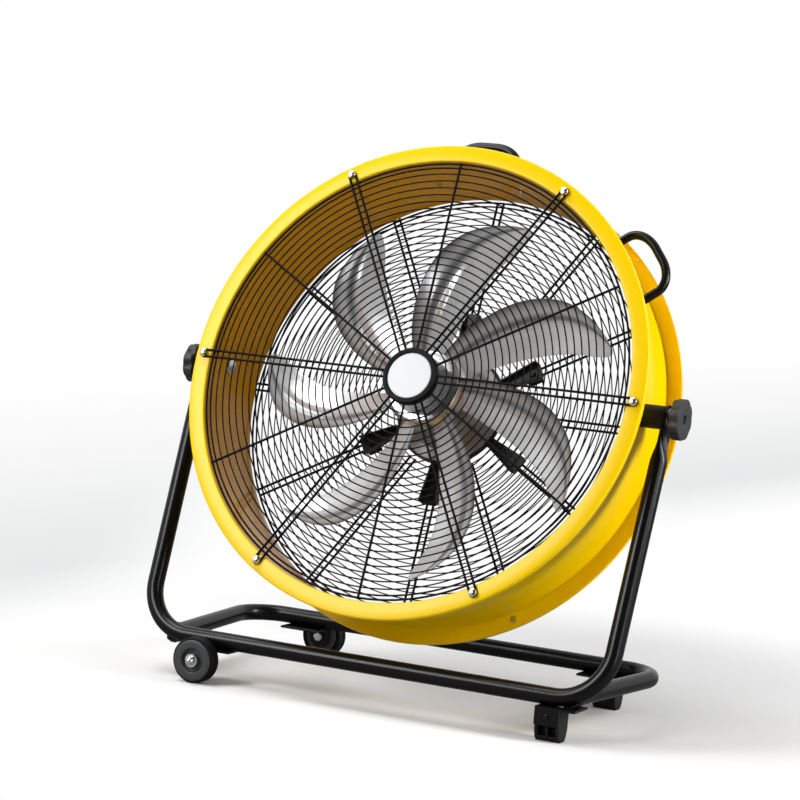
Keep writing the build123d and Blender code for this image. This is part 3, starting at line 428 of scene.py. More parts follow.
rim_grey = finish_of("wheel_rim_grey", (0.045, 0.046, 0.048), (0.058, 0.06, 0.062), (0.4, 0.55), 0.00006,
                     fine=1000, worn=(0.1, 0.1, 0.11), specular=0.3)
tyre_rubber = finish_of("tyre_rubber", 0.003, 0.007, (0.5, 0.72), 0.00008, fine=800, worn=0.025, wear=0.5,
                        specular=0.12)
rim = turn(eased(behind(
    WHEEL_FACE, (4.05, WHEEL_WIDTH), (23.5, WHEEL_WIDTH), (23.5, 2.4), (27.6, 2.0), (27.6, 0.9), (24.5, 0),
    (17.5, 0), (16.0, 1.2), (15.0, 6.5), (9.5, 6.5), (9.0, 0.2), (4.05, 0)), 0.7, 3), 72)
tyre = turn(eased(behind(
    WHEEL_FACE, (23.5, 21), (29.5, 21), (WHEEL_R, 18.5), (WHEEL_R, 12.5), (28.6, 11.4), (28.6, 9.6),
    (WHEEL_R, 8.5), (WHEEL_R, 4), (29.0, 1.6), (27.0, 2.6), (23.5, 2.8)), 0.8, 3))
for end in ENDS:
    make_piece(f"wheel_rim_{end}_turned", [at_wheel(rim, end)], rim_grey, "rim_grey", f"wheel_{end}")
    make_piece(f"wheel_tyre_{end}_turned", [at_wheel(tyre, end)], tyre_rubber, "tyre_rubber", f"wheel_{end}")

# ---- Axle bolts, washers, cap nuts and foot screws ----
# Zinc-plated steel: a hexagon bolt from behind each tongue, washers either side of the wheel, and a domed nut
# in front. A round-headed screw, coated black, holds each foot to its flap.

CAP_NUT_Y = WHEEL_FACE - 1.8
BACK_WASHER_Y = -16.0
WASHER_T = 1.5
FOOT_X = {"front": 270.0, "rear": 240.0}
FOOT_SCREW_Z = 32.0
bright_zinc = finish_of("bright_zinc_plate", (0.62, 0.62, 0.6), (0.78, 0.77, 0.74), (0.16, 0.3), 0.00003,
                        metallic=1.0, broad=60, fine=1500)
zinc = (bright_zinc, "fastener_steel")
bolt_profile = [(0, -6.2), (5.4, -6.2), (7.2, -7.2), (7.5, -11.5), (4, -11.5), (4, CAP_NUT_Y - 4),
                (0, CAP_NUT_Y - 4)]
dome = np.linspace(0, np.pi / 2, 9)
nut_profile = behind(CAP_NUT_Y, *np.stack([5.4 * np.sin(dome), -3.4 - 4.6 * np.cos(dome)], -1), (6.2, -3.2),
                     (6.5, -2.6), (6.5, 0), (0, 0))
HEXAGON_SIDES = 48
from_flat = once_round(HEXAGON_SIDES) % (np.pi / 3) - np.pi / 6
hexagon_share = np.cos(np.pi / 6) / np.cos(from_flat)


def hexagonal(profile, start, end):
    """Turns a profile and gives part of it six flats: the radius is divided by the cosine of the angle from
    the flat's middle, and never grows past the round form."""
    points, closed_rows, closed_columns = turn(profile, HEXAGON_SIDES)
    share = np.ones(points.shape[:2])
    share[:, start:end] = hexagon_share[:, None]
    points[..., 0] *= share
    points[..., 2] *= share
    return points, closed_rows, closed_columns


def oblong(left, right, low, high):
    """The four corners of an oblong."""
    return [(left, low), (right, low), (right, high), (left, high)]


def washer(y, bore, radius, edge=0.3):
    """A flat ring with eased edges."""
    return turn(eased(oblong(bore, radius, y, y + WASHER_T), edge, 2), 48)


axle_bolt, cap_nut = hexagonal(bolt_profile, 2, 4), hexagonal(nut_profile, 10, 12)
washers = [washer(y, 4.4, 9) for y in (BACK_WASHER_Y, CAP_NUT_Y)]
make_piece("wheel_axle_bolts_turned", [at_wheel(axle_bolt, end) for end in ENDS], *zinc)
make_piece("axle_cap_nuts_domed", [at_wheel(cap_nut, end) for end in ENDS], *zinc)
make_piece("axle_washers_turned", [at_wheel(each, end) for end in ENDS for each in washers], *zinc)
foot_screw = turn([(0, -20.2), (2.6, -20.1), (4.2, -19.4), (5, -18), (2.5, -18), (2.5, -2), (0, -2)], 32)
foot_screws = [moved(foot_screw, (FOOT_X["front"], 0, FOOT_SCREW_Z)),
               moved(foot_screw, (FOOT_X["rear"], BASE_DEPTH, FOOT_SCREW_Z), (-1, -1, 1))]
make_piece("foot_screws_turned", foot_screws, tube_black, "fastener_steel")

# ---- Drum shell ----
# One sheet of 1.2 mm steel rolled into a barrel, with a flange turned out at each end and a lip folded back
# on each flange, powder-coated yellow. The barrel's inside is painted a deeper amber: painted reflected
# light, standing in for the yellow light that the barrel throws back onto itself.

TILT = radians(20)
BARREL_R = 307.0
SHEET = 1.2
BARREL_OUT = BARREL_R + SHEET
FLANGE_R = 330.0
LIP = 7.0
FACE_Y = -58.0
BACK_Y = 88.0


def from_drum(points):
    """Metres in the object's frame, from millimetres in the drum's own: a turn of the tilt about X, and a
    shift to the pivot axis."""
    x, y, z = np.moveaxis(np.asarray(points, float), -1, 0)
    turned = [x, y * np.cos(TILT) + z * np.sin(TILT), z * np.cos(TILT) - y * np.sin(TILT)]
    return from_floor(np.stack(turned, -1) + (0, PIVOT[1], PIVOT[2]))


def drum_piece(name, grids, material, slot, body="drum", **more):
    """A piece whose grids are in the drum's own frame."""
    make_piece(name, grids, material, slot, body, from_drum, **more)


yellow = finish_of("yellow_powder_coat", (0.91, 0.585, 0.001), (0.94, 0.62, 0.0012), (0.16, 0.22), 0.00003,
                   fine=600, broad=5, worn=(1.0, 0.78, 0.12), wear=0.2, specular=0.12)
shell_corners = [
    (BARREL_R, FACE_Y), (FLANGE_R, FACE_Y), (FLANGE_R, FACE_Y + LIP), (FLANGE_R - SHEET, FACE_Y + LIP),
    (FLANGE_R - SHEET, FACE_Y + SHEET), (BARREL_OUT, FACE_Y + SHEET), (BARREL_OUT, BACK_Y - SHEET),
    (FLANGE_R - SHEET, BACK_Y - SHEET), (FLANGE_R - SHEET, BACK_Y - LIP), (FLANGE_R, BACK_Y - LIP),
    (FLANGE_R, BACK_Y), (BARREL_R, BACK_Y)]
shell_bends = [2.5, 2.2, 0.3, 0.3, 1.0, 1.5, 1.5, 1.0, 0.3, 0.3, 2.2, 2.5]
shell = turn(eased(shell_corners, shell_bends, 5), 288)
# The section's last strip is the barrel's inside, and the amber of painted reflected light covers that strip
# alone.
section_place, along_section, inside = add_nodes(yellow.node_tree, "UVMap", "SeparateXYZ", "Math")
inside.operation = "GREATER_THAN"
set_inputs(inside, {1: 1 - 1 / shell[0].shape[1]})
connect(yellow.node_tree, (section_place, "UV", along_section, "Vector"), (along_section, "X", inside, 0))
lay_over(yellow, inside, 0, (0.96, 0.45, 0.0006))
drum_piece("drum_shell_rolled", [shell], yellow, "drum_yellow", crease=50)

# ---- Pivots and tilt knobs ----
# A bolt goes through the barrel, a black moulded spacer, the flattened tube end, a washer and a lobed knob.
# The knob is moulded in black plastic, with a flat grey-looking face and a deep well at the bolt's end.

KNOB_LOBES = 8
LOBE_DEPTH = 0.17
KNOB_BACK = 348.9
KNOB_FACE = 367.9
SPACER_FROM, SPACER_TO = 307.5, 342.9
PIVOT_WASHER_AT = 347.1
knob_plastic = finish_of("spark_textured_plastic", (0.022, 0.023, 0.024), (0.034, 0.035, 0.037), (0.42, 0.56),
                         0.00008, fine=1300, worn=(0.12, 0.12, 0.13), wear=0.6, specular=0.3)
moulded_plastic = finish_of("moulded_black_plastic", 0.006, 0.011, (0.4, 0.55), 0.00005, fine=1100,
                            worn=(0.05, 0.05, 0.055), specular=0.25)
moulded = (moulded_plastic, "moulded_black")


def outwards(grid, side):
    """Lays a grid drawn about Y along the pivot axis instead, on the right for 1 or the left for -1."""
    x, y, z = np.moveaxis(grid[0], -1, 0)
    return np.stack([side * y, x, z], -1), grid[1], grid[2]


def both_sides(grid):
    """A grid along the pivot axis, on the right and on the left."""
    return [outwards(grid, 1), outwards(grid, -1)]


knob_corners = [(5.4, KNOB_BACK), (13, KNOB_BACK), (13, 354.8), (27.4, 354.9), (27.4, KNOB_FACE),
                (6.5, KNOB_FACE), (6.5, 363.9), (5.4, 363.9)]
knob, _, _ = turn(eased(knob_corners, [0.5, 1.0, 1.5, 1.6, 1.2, 0.8, 0.3, 0.3], 4), 192)
lobing = 0.5 - 0.5 * np.cos(KNOB_LOBES * once_round(len(knob))[:, None])
# Between the lobes the rim is drawn in, more so outwards from a radius of 20 and back from the face.
depth = np.clip((np.hypot(knob[..., 0], knob[..., 2]) - 20) / 7.4, 0, 1) * LOBE_DEPTH * lobing ** 1.6
depth *= np.clip((KNOB_FACE + 0.6 - knob[..., 1]) / 4.0, 0.32, 1)
knob_grid = (knob * np.stack([1 - depth, np.ones_like(depth), 1 - depth], -1), True, True)
for side, label in ((1, "right"), (-1, "left")):
    drum_piece(f"tilt_knob_{label}_moulded", [outwards(knob_grid, side)], knob_plastic, "moulded_black",
               f"knob_{label}")
spacer = turn(eased(oblong(5.2, 15.5, SPACER_FROM, SPACER_TO), 1.0, 3), 72)
drum_piece("pivot_spacers_turned", both_sides(spacer), *moulded)
drum_piece("pivot_washers_turned", both_sides(washer(PIVOT_WASHER_AT, 5.2, 13, edge=0.35)), *zinc)
pivot_bolt = turn([(0, 302.4), (7, 302.6), (10.2, 303.6), (11, 306.2), (5, 306.2), (5, 364.3), (4.2, 364.9),
                   (0, 364.9)], 48)
drum_piece("pivot_bolts_turned", both_sides(pivot_bolt), *zinc)

# ---- Carry handles ----
# Two black steel rods bent into a D, on top of the barrel and on its right shoulder.
# Each foot ends in a flat tab, curved to the barrel and held by a button-headed screw.

HANDLE_R = 6.0
HANDLE_LEG_X = 46.0
HANDLE_RISE = 56.0
HANDLE_BEND_R = 36.0
HANDLE_SCREW_X = 62.8
HANDLE_TURN = {"top": 0.0, "side": -51.0}
DRUM_MIDDLE_Y = (FACE_Y + BACK_Y) / 2
handle_top = BARREL_OUT + HANDLE_RISE - HANDLE_R
handle_foot = np.sqrt(BARREL_OUT ** 2 - HANDLE_LEG_X ** 2)
handle_line = eased([(-HANDLE_LEG_X, DRUM_MIDDLE_Y, handle_foot), (-HANDLE_LEG_X, DRUM_MIDDLE_Y, handle_top),
                     (HANDLE_LEG_X, DRUM_MIDDLE_Y, handle_top), (HANDLE_LEG_X, DRUM_MIDDLE_Y, handle_foot)],
                    HANDLE_BEND_R, 14, closed=False)
handle_rod = sweep(handle_line, circle(HANDLE_R, 28), (0, 1, 0))


def inset(outline, distance):
    """Moves each point of a closed outline inwards, along the mean of the normals of its two sides."""
    outline = np.asarray(outline, float)
    edge = np.roll(outline, -1, 0) - outline
    edge = edge / (lengths(edge) + 1e-12)
    normal = np.stack([-edge[:, 1], edge[:, 0]], -1)
    mean = normal + np.roll(normal, 1, 0)
    mean /= lengths(mean) + 1e-12
    area = np.sum(outline[:, 0] * np.roll(outline[:, 1], -1) - np.roll(outline[:, 0], -1) * outline[:, 1])
    return outline + np.sign(area) * distance * mean


def slab(outline, low, high, bevel=0.4):
    """A plate with bevelled edges: the outline at four heights, drawn in by the bevel at the first and last.
    Its points are (first, height, second)."""
    levels = [(low, bevel), (low + bevel, 0), (high - bevel, 0), (high, bevel)]
    rings = [np.insert(inset(outline, by), 1, height, 1) for height, by in levels]
    return np.stack(rings), False, True


def upright(grid):
    """Lays a grid drawn about Y along Z instead."""
    return grid[0][..., [0, 2, 1]], grid[1], grid[2]


def round_drum(grid, degrees):
    """A grid turned about the drum's axis, anticlockwise as seen from the front: a copy at each angle."""
    x, y, z = np.moveaxis(grid[0], -1, 0)
    angle = np.radians(np.reshape(degrees, (-1, 1, 1)))
    turned = [x * np.cos(angle) - z * np.sin(angle), y + 0 * angle, x * np.sin(angle) + z * np.cos(angle)]
    return np.stack(turned, -1), grid[1], grid[2]


tab_flat, _, _ = slab(eased(oblong(40, 70, 4, 26), 5, 5), 0, 3, 0.5)
tab_x, tab_up, tab_y = np.moveaxis(tab_flat, -1, 0)
tab_angle, tab_r = tab_x / BARREL_OUT, BARREL_OUT + tab_up
tab = (np.stack([tab_r * np.sin(tab_angle), tab_y, tab_r * np.cos(tab_angle)], -1), False, True)
screw_turn = np.degrees(np.arcsin(HANDLE_SCREW_X / BARREL_OUT))
button = turn([(0, 6.0), (2.4, 5.9), (4.6, 4.8), (5.3, 3.0), (2.8, 3.0), (2.8, -8), (0, -8)], 32)
button = moved(upright(button), (0, DRUM_MIDDLE_Y, BARREL_OUT))
for name, angle in HANDLE_TURN.items():
    parts = [round_drum(part, angle) for part in (handle_rod, moved(tab, 0, (-1, 1, 1)), tab)]
    drum_piece(f"carry_handle_{name}_bent", parts, tube_black, "tube_black", crease=50)
screw_angles = [angle + side * screw_turn for angle in HANDLE_TURN.values() for side in (-1, 1)]
drum_piece("handle_screws_turned", [round_drum(button, screw_angles)], *zinc)

# ---- Guards ----
# Rings of steel wire, 2 mm in front and 1.7 mm behind, are spot-welded to straight wires of 3.4 mm and coated
# black. On each guard six of these are bent back round a bolt on the flange, so that they lie in pairs. The
# front guard closes on a black moulded ring and a pale plastic disc.

WIRE_R = 1.7
FRONT_RING_WIRE_R, REAR_RING_WIRE_R = 1.0, 0.85
RIM_RINGS, RIM_WIRE_R = [297.5, 303.4], [1.3, 1.5]
LAST_RING_R = 289.0
WIRE_END = 304.0
PAIR_HALF = 4.6
RINGS_DEEP, LOOP_PROUD, WIRE_PROUD, BOLT_PROUD = 1.4, 2.0, 1.0, 4.0
GUARD_BOLT_R = 317.5
HUB_RING_R = 39.0
REAR_WIRE_FROM = 84.0
GUARD_ANGLES = np.arange(6) * 60.0
BETWEEN = GUARD_ANGLES + 30
wire_black = finish_of("black_coated_wire", 0.0015, 0.003, (0.4, 0.55), 0.00003, fine=1400, broad=20,
                       specular=0.08)


def wire_rings(inner, count, wire_r, y):
    """Evenly spaced rings of round wire, and two thicker ones at the rim: at angles a round the drum and b
    round the wire, the point is ((R + w cos b) cos a, y + w sin b, (R + w cos b) sin a)."""
    a, b = once_round(144)[None, :, None], once_round(8)[None, None, :]
    ring = np.concatenate([np.linspace(inner, LAST_RING_R, count), RIM_RINGS])[:, None, None]
    wire = np.concatenate([np.full(count, wire_r), RIM_WIRE_R])[:, None, None]
    reach = ring + wire * np.cos(b)
    points = np.broadcast_arrays(reach * np.cos(a), y + wire * np.sin(b), reach * np.sin(a))
    return np.stack(points, -1), True, True


def looped_wire(inner, y):
    """A wire that runs out beside the radius, round the bolt and back."""
    outer = GUARD_BOLT_R + PAIR_HALF
    corners = [(inner, y, PAIR_HALF), (outer, y, PAIR_HALF), (outer, y, -PAIR_HALF), (inner, y, -PAIR_HALF)]
    return sweep(eased(corners, PAIR_HALF - 0.01, 9, closed=False), circle(WIRE_R, 12), (0, 1, 0))


def straight_wire(inner, y, beside=0.0):
    """A straight wire out along the radius."""
    line = [(inner, y, beside), ((inner + WIRE_END) / 2, y, beside), (WIRE_END, y, beside)]
    return sweep(line, circle(WIRE_R, 12), (0, 1, 0))


front_wires = [wire_rings(50, 25, FRONT_RING_WIRE_R, FACE_Y + RINGS_DEEP),
               round_drum(looped_wire(HUB_RING_R - 2, FACE_Y - LOOP_PROUD), GUARD_ANGLES),
               round_drum(straight_wire(HUB_RING_R - 2, FACE_Y - WIRE_PROUD), BETWEEN)]
rear_wires = [wire_rings(86, 22, REAR_RING_WIRE_R, BACK_Y - RINGS_DEEP),
              round_drum(looped_wire(REAR_WIRE_FROM, BACK_Y + LOOP_PROUD), GUARD_ANGLES)]
rear_wires += [round_drum(straight_wire(REAR_WIRE_FROM, BACK_Y + WIRE_PROUD, beside), BETWEEN)
               for beside in (-PAIR_HALF, PAIR_HALF)]
drum_piece("front_guard_wires", front_wires, wire_black, "wire_black", crease=60)
drum_piece("rear_guard_wires", rear_wires, wire_black, "wire_black", crease=60)

pale = finish_of("pale_plastic_disc", (0.71, 0.725, 0.74), (0.75, 0.765, 0.78), (0.3, 0.38), 0.00003,
                 specular=0.14)
HUB_FACE = FACE_Y - 7.0
hub_ring = turn(eased(behind(HUB_FACE, (31.5, 0), (37.6, 0), (HUB_RING_R, 2), (HUB_RING_R, 11), (26, 11),
                             (26, 3.5), (31.5, 3.5)), 0.9, 4), 128)
raised_line = turn(eased(oblong(33.6, 34.8, HUB_FACE - 0.4, HUB_FACE + 0.5), 0.3, 3), 128)
drum_piece("guard_hub_ring_moulded", [hub_ring, raised_line], wire_black, "moulded_black")
hub_cap = turn(behind(HUB_FACE, (0, 0.6), (20, 0.7), (30.3, 0.9), (31.4, 1.8), (31.4, 3.4), (0, 3.4)), 128)
drum_piece("guard_hub_cap_moulded", [hub_cap], pale, "cap_pale")

head_round = turn([(0, -3.2), (2.8, -3.0), (5.0, -2.0), (5.8, -0.4), (5.8, 0), (1.8, 0), (1.8, 5.2),
                   (0, 5.2)], 48)
nut_flats = hexagonal([(0, 5.2), (4.6, 5.2), (5.2, 5.8), (5.2, 9.2), (4.6, 9.7), (0, 9.7)], 2, 4)
guard_bolts = [round_drum(moved(part, (GUARD_BOLT_R, head_y, 0), (1, toward, 1)), GUARD_ANGLES)
               for head_y, toward in ((FACE_Y - BOLT_PROUD, 1), (BACK_Y + BOLT_PROUD, -1))
               for part in (head_round, nut_flats)]
drum_piece("guard_bolts_turned", guard_bolts, *zinc)

# ---- Motor and its mount ----
# A cast aluminium motor with a fixing flange near its back. A black steel spider is screwed to the flange,
# and its six flared arms are clamped to the rear guard's wire pairs.

MOTOR_FRONT = 22.0
MOTOR_BACK = 114.0
SPIDER_SHEET = 2.5
SPIDER_Y = BACK_Y - 2.6 - SPIDER_SHEET
MOTOR_SCREW_R = 68.5
cast = finish_of("cast_aluminium", (0.42, 0.425, 0.43), (0.52, 0.525, 0.53), (0.34, 0.5), 0.00012,
                 metallic=0.9, broad=30, fine=700, worn=0.8)
spider_black = finish_of("satin_black_steel", 0.006, 0.011, (0.4, 0.55), 0.00008, worn=0.05)
body_corners = [(54, 36), (59, 36), (59, 38), (60, 39.5), (60, 77.5), (76, 79), (76, SPIDER_Y),
                (60, SPIDER_Y + 0.2), (60, 98), (59, 100), (54, 100)]
drum_piece("motor_body_cast", [turn(eased(body_corners, 0.8, 3), 128)], cast, "motor_silver")
bell_profile = behind(MOTOR_FRONT, (8, 0), (20, 0), (22, 1.5), (34, 1.5), (37, 0), (42, 0), (60, 7),
                      (60, 14), (16, 14), (16, 4), (8, 4))
front_bell = turn(eased(bell_profile, 1.2, 3), 128)
rear_bell = moved(front_bell, (0, MOTOR_FRONT + MOTOR_BACK, 0), (1, -1, 1))
drum_piece("motor_front_bell_cast", [front_bell], cast, "motor_silver")
drum_piece("motor_rear_bell_cast", [rear_bell], cast, "motor_silver")

arm_corners = [(74, -6), (118, -11.5), (138, -13.5), (138, 13.5), (118, 11.5), (74, 6)]
arm_web = slab(eased(arm_corners, [1, 6, 5, 5, 6, 1], 5), SPIDER_Y, SPIDER_Y + SPIDER_SHEET, 0.5)
arm_grids = [round_drum(arm_web, BETWEEN)]
for side in (-1, 1):
    rib = eased([(78, side * 4.2), (78, side * 6.4), (136, side * 13.5), (136, side * 11.2)], 0.8, 2)
    arm_grids.append(round_drum(slab(rib, SPIDER_Y - 9, SPIDER_Y + 1), BETWEEN))
spider_ring = turn(eased(oblong(60, 80, SPIDER_Y, SPIDER_Y + SPIDER_SHEET), 0.5, 2), 128)
drum_piece("motor_mount_spider_pressed", [spider_ring, *arm_grids], spider_black, "tube_black")
dress("rod_clamps", spider_black)
motor_screw = hexagonal([(0, 3), (3.8, 3), (4.5, 2.4), (4.5, 0), (2.5, 0), (2.5, -2.5), (0, -2.5)], 2, 4)
motor_screw = moved(motor_screw, (MOTOR_SCREW_R, SPIDER_Y + SPIDER_SHEET, 0))
drum_piece("motor_screws_turned", [round_drum(motor_screw, np.arange(4) * 90 + 45.0)], *zinc)
laminations = finish_of("steel_laminations", (0.3, 0.29, 0.28), (0.4, 0.39, 0.37), (0.4, 0.6), 0.0001,
                        metallic=1.0, stretch=(1, 40, 1), fine=60)
for node in ("motor_bearings", "stator_core", "rotor_core"):
    dress(node, laminations, 0)

# ---- Switch box ----
# A black moulded box on the motor's back, with a screwed lid that carries the speed dial, and an inlet gland
# underneath. The switch and the motor's capacitor are inside.

LID_Y = MOTOR_BACK + 34.0
LID_T = 2.5
BOX_HALF_W, BOX_HALF_H = 42, 31
BOX_WALL = 2.5
LID_SCREW_X, LID_SCREW_Z = 36, 25
GLAND_X = -21
DIAL_X = 16.8
DIAL_Y = LID_Y + 2.8


def box_outline(by=0.0):
    """The box's outline with rounded corners."""
    half_w, half_h = BOX_HALF_W - by, BOX_HALF_H - by
    return eased(oblong(-half_w, half_w, -half_h, half_h), 7 - by, 6)


outer_and_inner = [(0, MOTOR_BACK + 0.1), (0, LID_Y), (BOX_WALL, LID_Y), (BOX_WALL, MOTOR_BACK + 2.5)]
box_rings = np.stack([np.insert(box_outline(by), 1, y, 1) for by, y in outer_and_inner])
drum_piece("switch_box_moulded", [(box_rings, False, True)], *moulded)
drum_piece("switch_box_lid_moulded", [slab(box_outline(), LID_Y, LID_Y + LID_T, 0.7)], *moulded)
lid_screw = turn([(0, 1.2), (1.6, 1.1), (2.6, 0.2), (2.6, -0.2), (0, -0.2)], 24)
lid_screws = [moved(lid_screw, (x, LID_Y + LID_T, z))
              for x in (-LID_SCREW_X, LID_SCREW_X) for z in (-LID_SCREW_Z, LID_SCREW_Z)]
drum_piece("lid_screws", lid_screws, *zinc, replaces=())
gland = turn(eased([(3.6, -2.5), (6.4, -2.5), (6.4, 0.2), (8, 0.2), (8, 7), (6.6, 8), (7.4, 9), (7.4, 12),
                    (5.6, 16), (3.6, 16)], 0.5, 2), 48)
gland = moved(upright(gland), (GLAND_X, MOTOR_BACK + 17, -BOX_HALF_H), (1, 1, -1))
drum_piece("cable_gland_turned", [gland], *moulded)
skirt_corners = behind(DIAL_Y, (0, 0), (17, 0), (17, 1.6), (15.5, 2.8), (0, 2.8))
skirt = turn(eased(skirt_corners, [0, 0.5, 0.6, 0.6, 0], 3, closed=False), 96)
grip = slab(eased(oblong(-15, 15, -3.2, 3.2), 3, 5), DIAL_Y + 2, DIAL_Y + 12, 1.0)
pointer = slab(eased(oblong(8, 14.2, -0.5, 0.5), 0.2, 2), DIAL_Y + 11.5, DIAL_Y + 12.15, 0.1)
skirt, grip, pointer = [moved(part, (DIAL_X, 0, 0)) for part in (skirt, grip, pointer)]
drum_piece("speed_dial_moulded", [skirt, grip], *moulded, "dial")
drum_piece("speed_dial_pointer", [pointer], pale, "cap_pale", "dial", replaces=())
dress("run_capacitor", cast, 0)
dress("rotary_switch", moulded_plastic, 0)

# ---- Rotor ----
# Seven blades pressed from aluminium sheet, swept forwards in the direction they turn and raised along a soft
# crest, on a spun hub cup. A nut holds the hub to the motor's shaft.

BLADES = 7
BLADE_T = 1.8
ROOT_R = 46.0
TIP_R = 258.0
TIP_ROUND_FROM = 215.0
RIB_RISE = 3.4
RIB_AT, RIB_WIDTH = 0.08, 0.075
RIB_FROM, RIB_LENGTH = 60.0, 190.0
FIRST_BLADE = 100.0
sheet_aluminium = finish_of("pressed_aluminium", (0.88, 0.89, 0.905), (0.93, 0.94, 0.955), (0.2, 0.28),
                            0.000004, metallic=0.45, uv=True, stretch=(8, 2, 1), broad=1.5, fine=5)
# Across both faces of each blade, from its rear edge at 0 to its front edge at 0.5: plain metal, a dark
# stripe of painted shade in the crease beside the rib, a lighter band, and painted shade deepening towards
# the front edge.
section_place, along_section, from_edge, painted_shade = add_nodes(
    sheet_aluminium.node_tree, "UVMap", "SeparateXYZ", "Math", "ValToRGB")
from_edge.operation = "PINGPONG"
set_inputs(from_edge, {1: 0.5})


def set_ramp(node, *stops):
    """Gives a colour ramp its stops: the first two are the ramp's own, and the others are added."""
    own = node.color_ramp.elements
    for index, (position, colour) in enumerate(stops):
        stop = own[index] if index < 2 else own.new(position)
        stop.position, stop.color = position, opaque(colour)


painted_shade.color_ramp.interpolation = "EASE"
set_ramp(painted_shade, (0.255, 0), (0.47, 0.88), (0.3, 0.8), (0.345, 0.3))
connect(sheet_aluminium.node_tree, (section_place, "UV", along_section, "Vector"),
        (along_section, "X", from_edge, 0), (from_edge, 0, painted_shade, "Fac"))
# The painted shade darkens the metal towards near black.
lay_over(sheet_aluminium, painted_shade, "Color", (0.045, 0.046, 0.05))
spun_aluminium = finish_of("spun_aluminium", (0.5, 0.505, 0.51), (0.62, 0.625, 0.63), (0.22, 0.36), 0.00003,
                           metallic=0.9, uv=True, stretch=(60, 1, 1), broad=3.0, fine=20)
# Down each blade: radius, sweep in degrees, chord, pitch in degrees, crest, and depth behind the tilt axis.
stations = np.array([
    (48, 1.0, 42, 42, 3.0, -3.0), (90, -2.0, 64, 37, 6.0, 3.0), (130, -5.5, 78, 33, 8.0, 8.0),
    (170, -10.0, 84, 29, 8.0, 12.0), (205, -15.5, 82, 26, 6.5, 14.0), (232, -21.0, 72, 24, 4.0, 15.0),
    (258, -29.0, 46, 22, 1.0, 15.0)])


def blade_surface(angle, rows=56, columns=33):
    """A blade: at radius r, its chord lies square to the radius, turned by the pitch, and its middle is swept
    round by the sweep; s runs from -1/2 to 1/2 along the chord, and the sheet rises by the crest times
    1 - |2s|^1.7, less a pressed rib of a bell shape beside the middle. The chord shrinks to nothing at the
    tip as the root of 1 - q^2.4, with q the share of the way from where the tip's rounding starts."""
    radius = ROOT_R + (TIP_R - ROOT_R) * np.sin(np.linspace(0, np.pi / 2, rows))
    sweep_at, chord, pitch, crest, depth_at = [
        np.polyval(np.polyfit(stations[:, 0], column, 4), radius)[:, None] for column in stations[:, 1:].T]
    q = np.clip((radius - TIP_ROUND_FROM) / (TIP_R - TIP_ROUND_FROM), 0, 1)[:, None]
    chord = chord * np.sqrt(np.maximum(1 - q ** 2.4, 1e-6))
    s = np.sin(np.linspace(-np.pi / 2, np.pi / 2, columns)) / 2
    s = np.concatenate([s, s[-2:0:-1]])[None]
    face = np.concatenate([-np.ones(columns), np.ones(columns - 2)])[None]
    edge = np.sqrt(np.maximum(1 - np.abs(2 * s) ** 6, 0))
    fading = np.sin(np.pi * np.clip((radius - RIB_FROM) / RIB_LENGTH, 0, 1))[:, None]
    rib = RIB_RISE * np.exp(-((s - RIB_AT) / RIB_WIDTH) ** 2) * fading
    along, up = s * chord, crest * (1 - np.abs(2 * s) ** 1.7) - rib + face * edge * BLADE_T / 2
    turn_at, lean = np.radians(angle + sweep_at), np.radians(pitch)
    around = along * np.cos(lean) + up * np.sin(lean)
    rearward = depth_at - along * np.sin(lean) + up * np.cos(lean)
    x = radius[:, None] * np.cos(turn_at) - around * np.sin(turn_at)
    z = radius[:, None] * np.sin(turn_at) + around * np.cos(turn_at)
    return np.stack([x, rearward, z], -1), False, True


for index in range(BLADES):
    blade = blade_surface(FIRST_BLADE + 360 / BLADES * index)
    drum_piece(f"fan_blade_{index + 1}_pressed", [blade], sheet_aluminium, "blade_silver", "rotor", crease=60)

hub_corners = [(7, -14), (15, -14), (40.5, -20), (50, -19), (54, -13), (54, 14), (51, 14), (51, -8),
               (15, -10), (15, 14), (7, 14)]
hub_cup = turn(eased(hub_corners, [0.5, 4, 5, 5, 4, 1, 1, 3, 3, 1, 0.5], 5), 128)
drum_piece("rotor_hub_spun", [hub_cup], spun_aluminium, "blade_silver", "rotor")
hub_nut = hexagonal([(0, -21), (10.5, -21), (12, -20.2), (12, -14), (0, -14)], 2, 4)
drum_piece("hub_nut_turned", [hub_nut], *zinc, "rotor")
shaft = turn([(0, -24), (6.2, -24), (7, -23.2), (7, 110), (0, 110)], 48)
drum_piece("motor_shaft_turned", [shaft], *zinc, "rotor")

# ---- Studio ----
# A pale floor with painted shadow that fades to a pale backdrop with a band of painted shade, large soft
# lamps, and the photograph's own camera.

FLOOR_HALF = 30
floor_mesh = bpy.data.meshes.new("studio_floor")
floor_corners = [(x, y, 0) for x, y in oblong(-FLOOR_HALF, FLOOR_HALF, -FLOOR_HALF, FLOOR_HALF)]
floor_mesh.from_pydata(floor_corners, [], [(0, 1, 2, 3)])
floor = bpy.data.objects.new("studio_floor", floor_mesh)
bpy.context.scene.collection.objects.link(floor)
floor_material = bpy.data.materials.new("studio_floor")
floor_material.use_nodes = True
floor_mesh.materials.append(floor_material)


def set_range(node, source=(0, 1), result=(0, 1), smooth=False):
    """Gives a Map Range node the range that it reads and the range that it gives."""
    if smooth:
        node.interpolation_type = "SMOOTHSTEP"
    set_inputs(node, {"From Min": source[0], "From Max": source[1], "To Min": result[0], "To Max": result[1]})
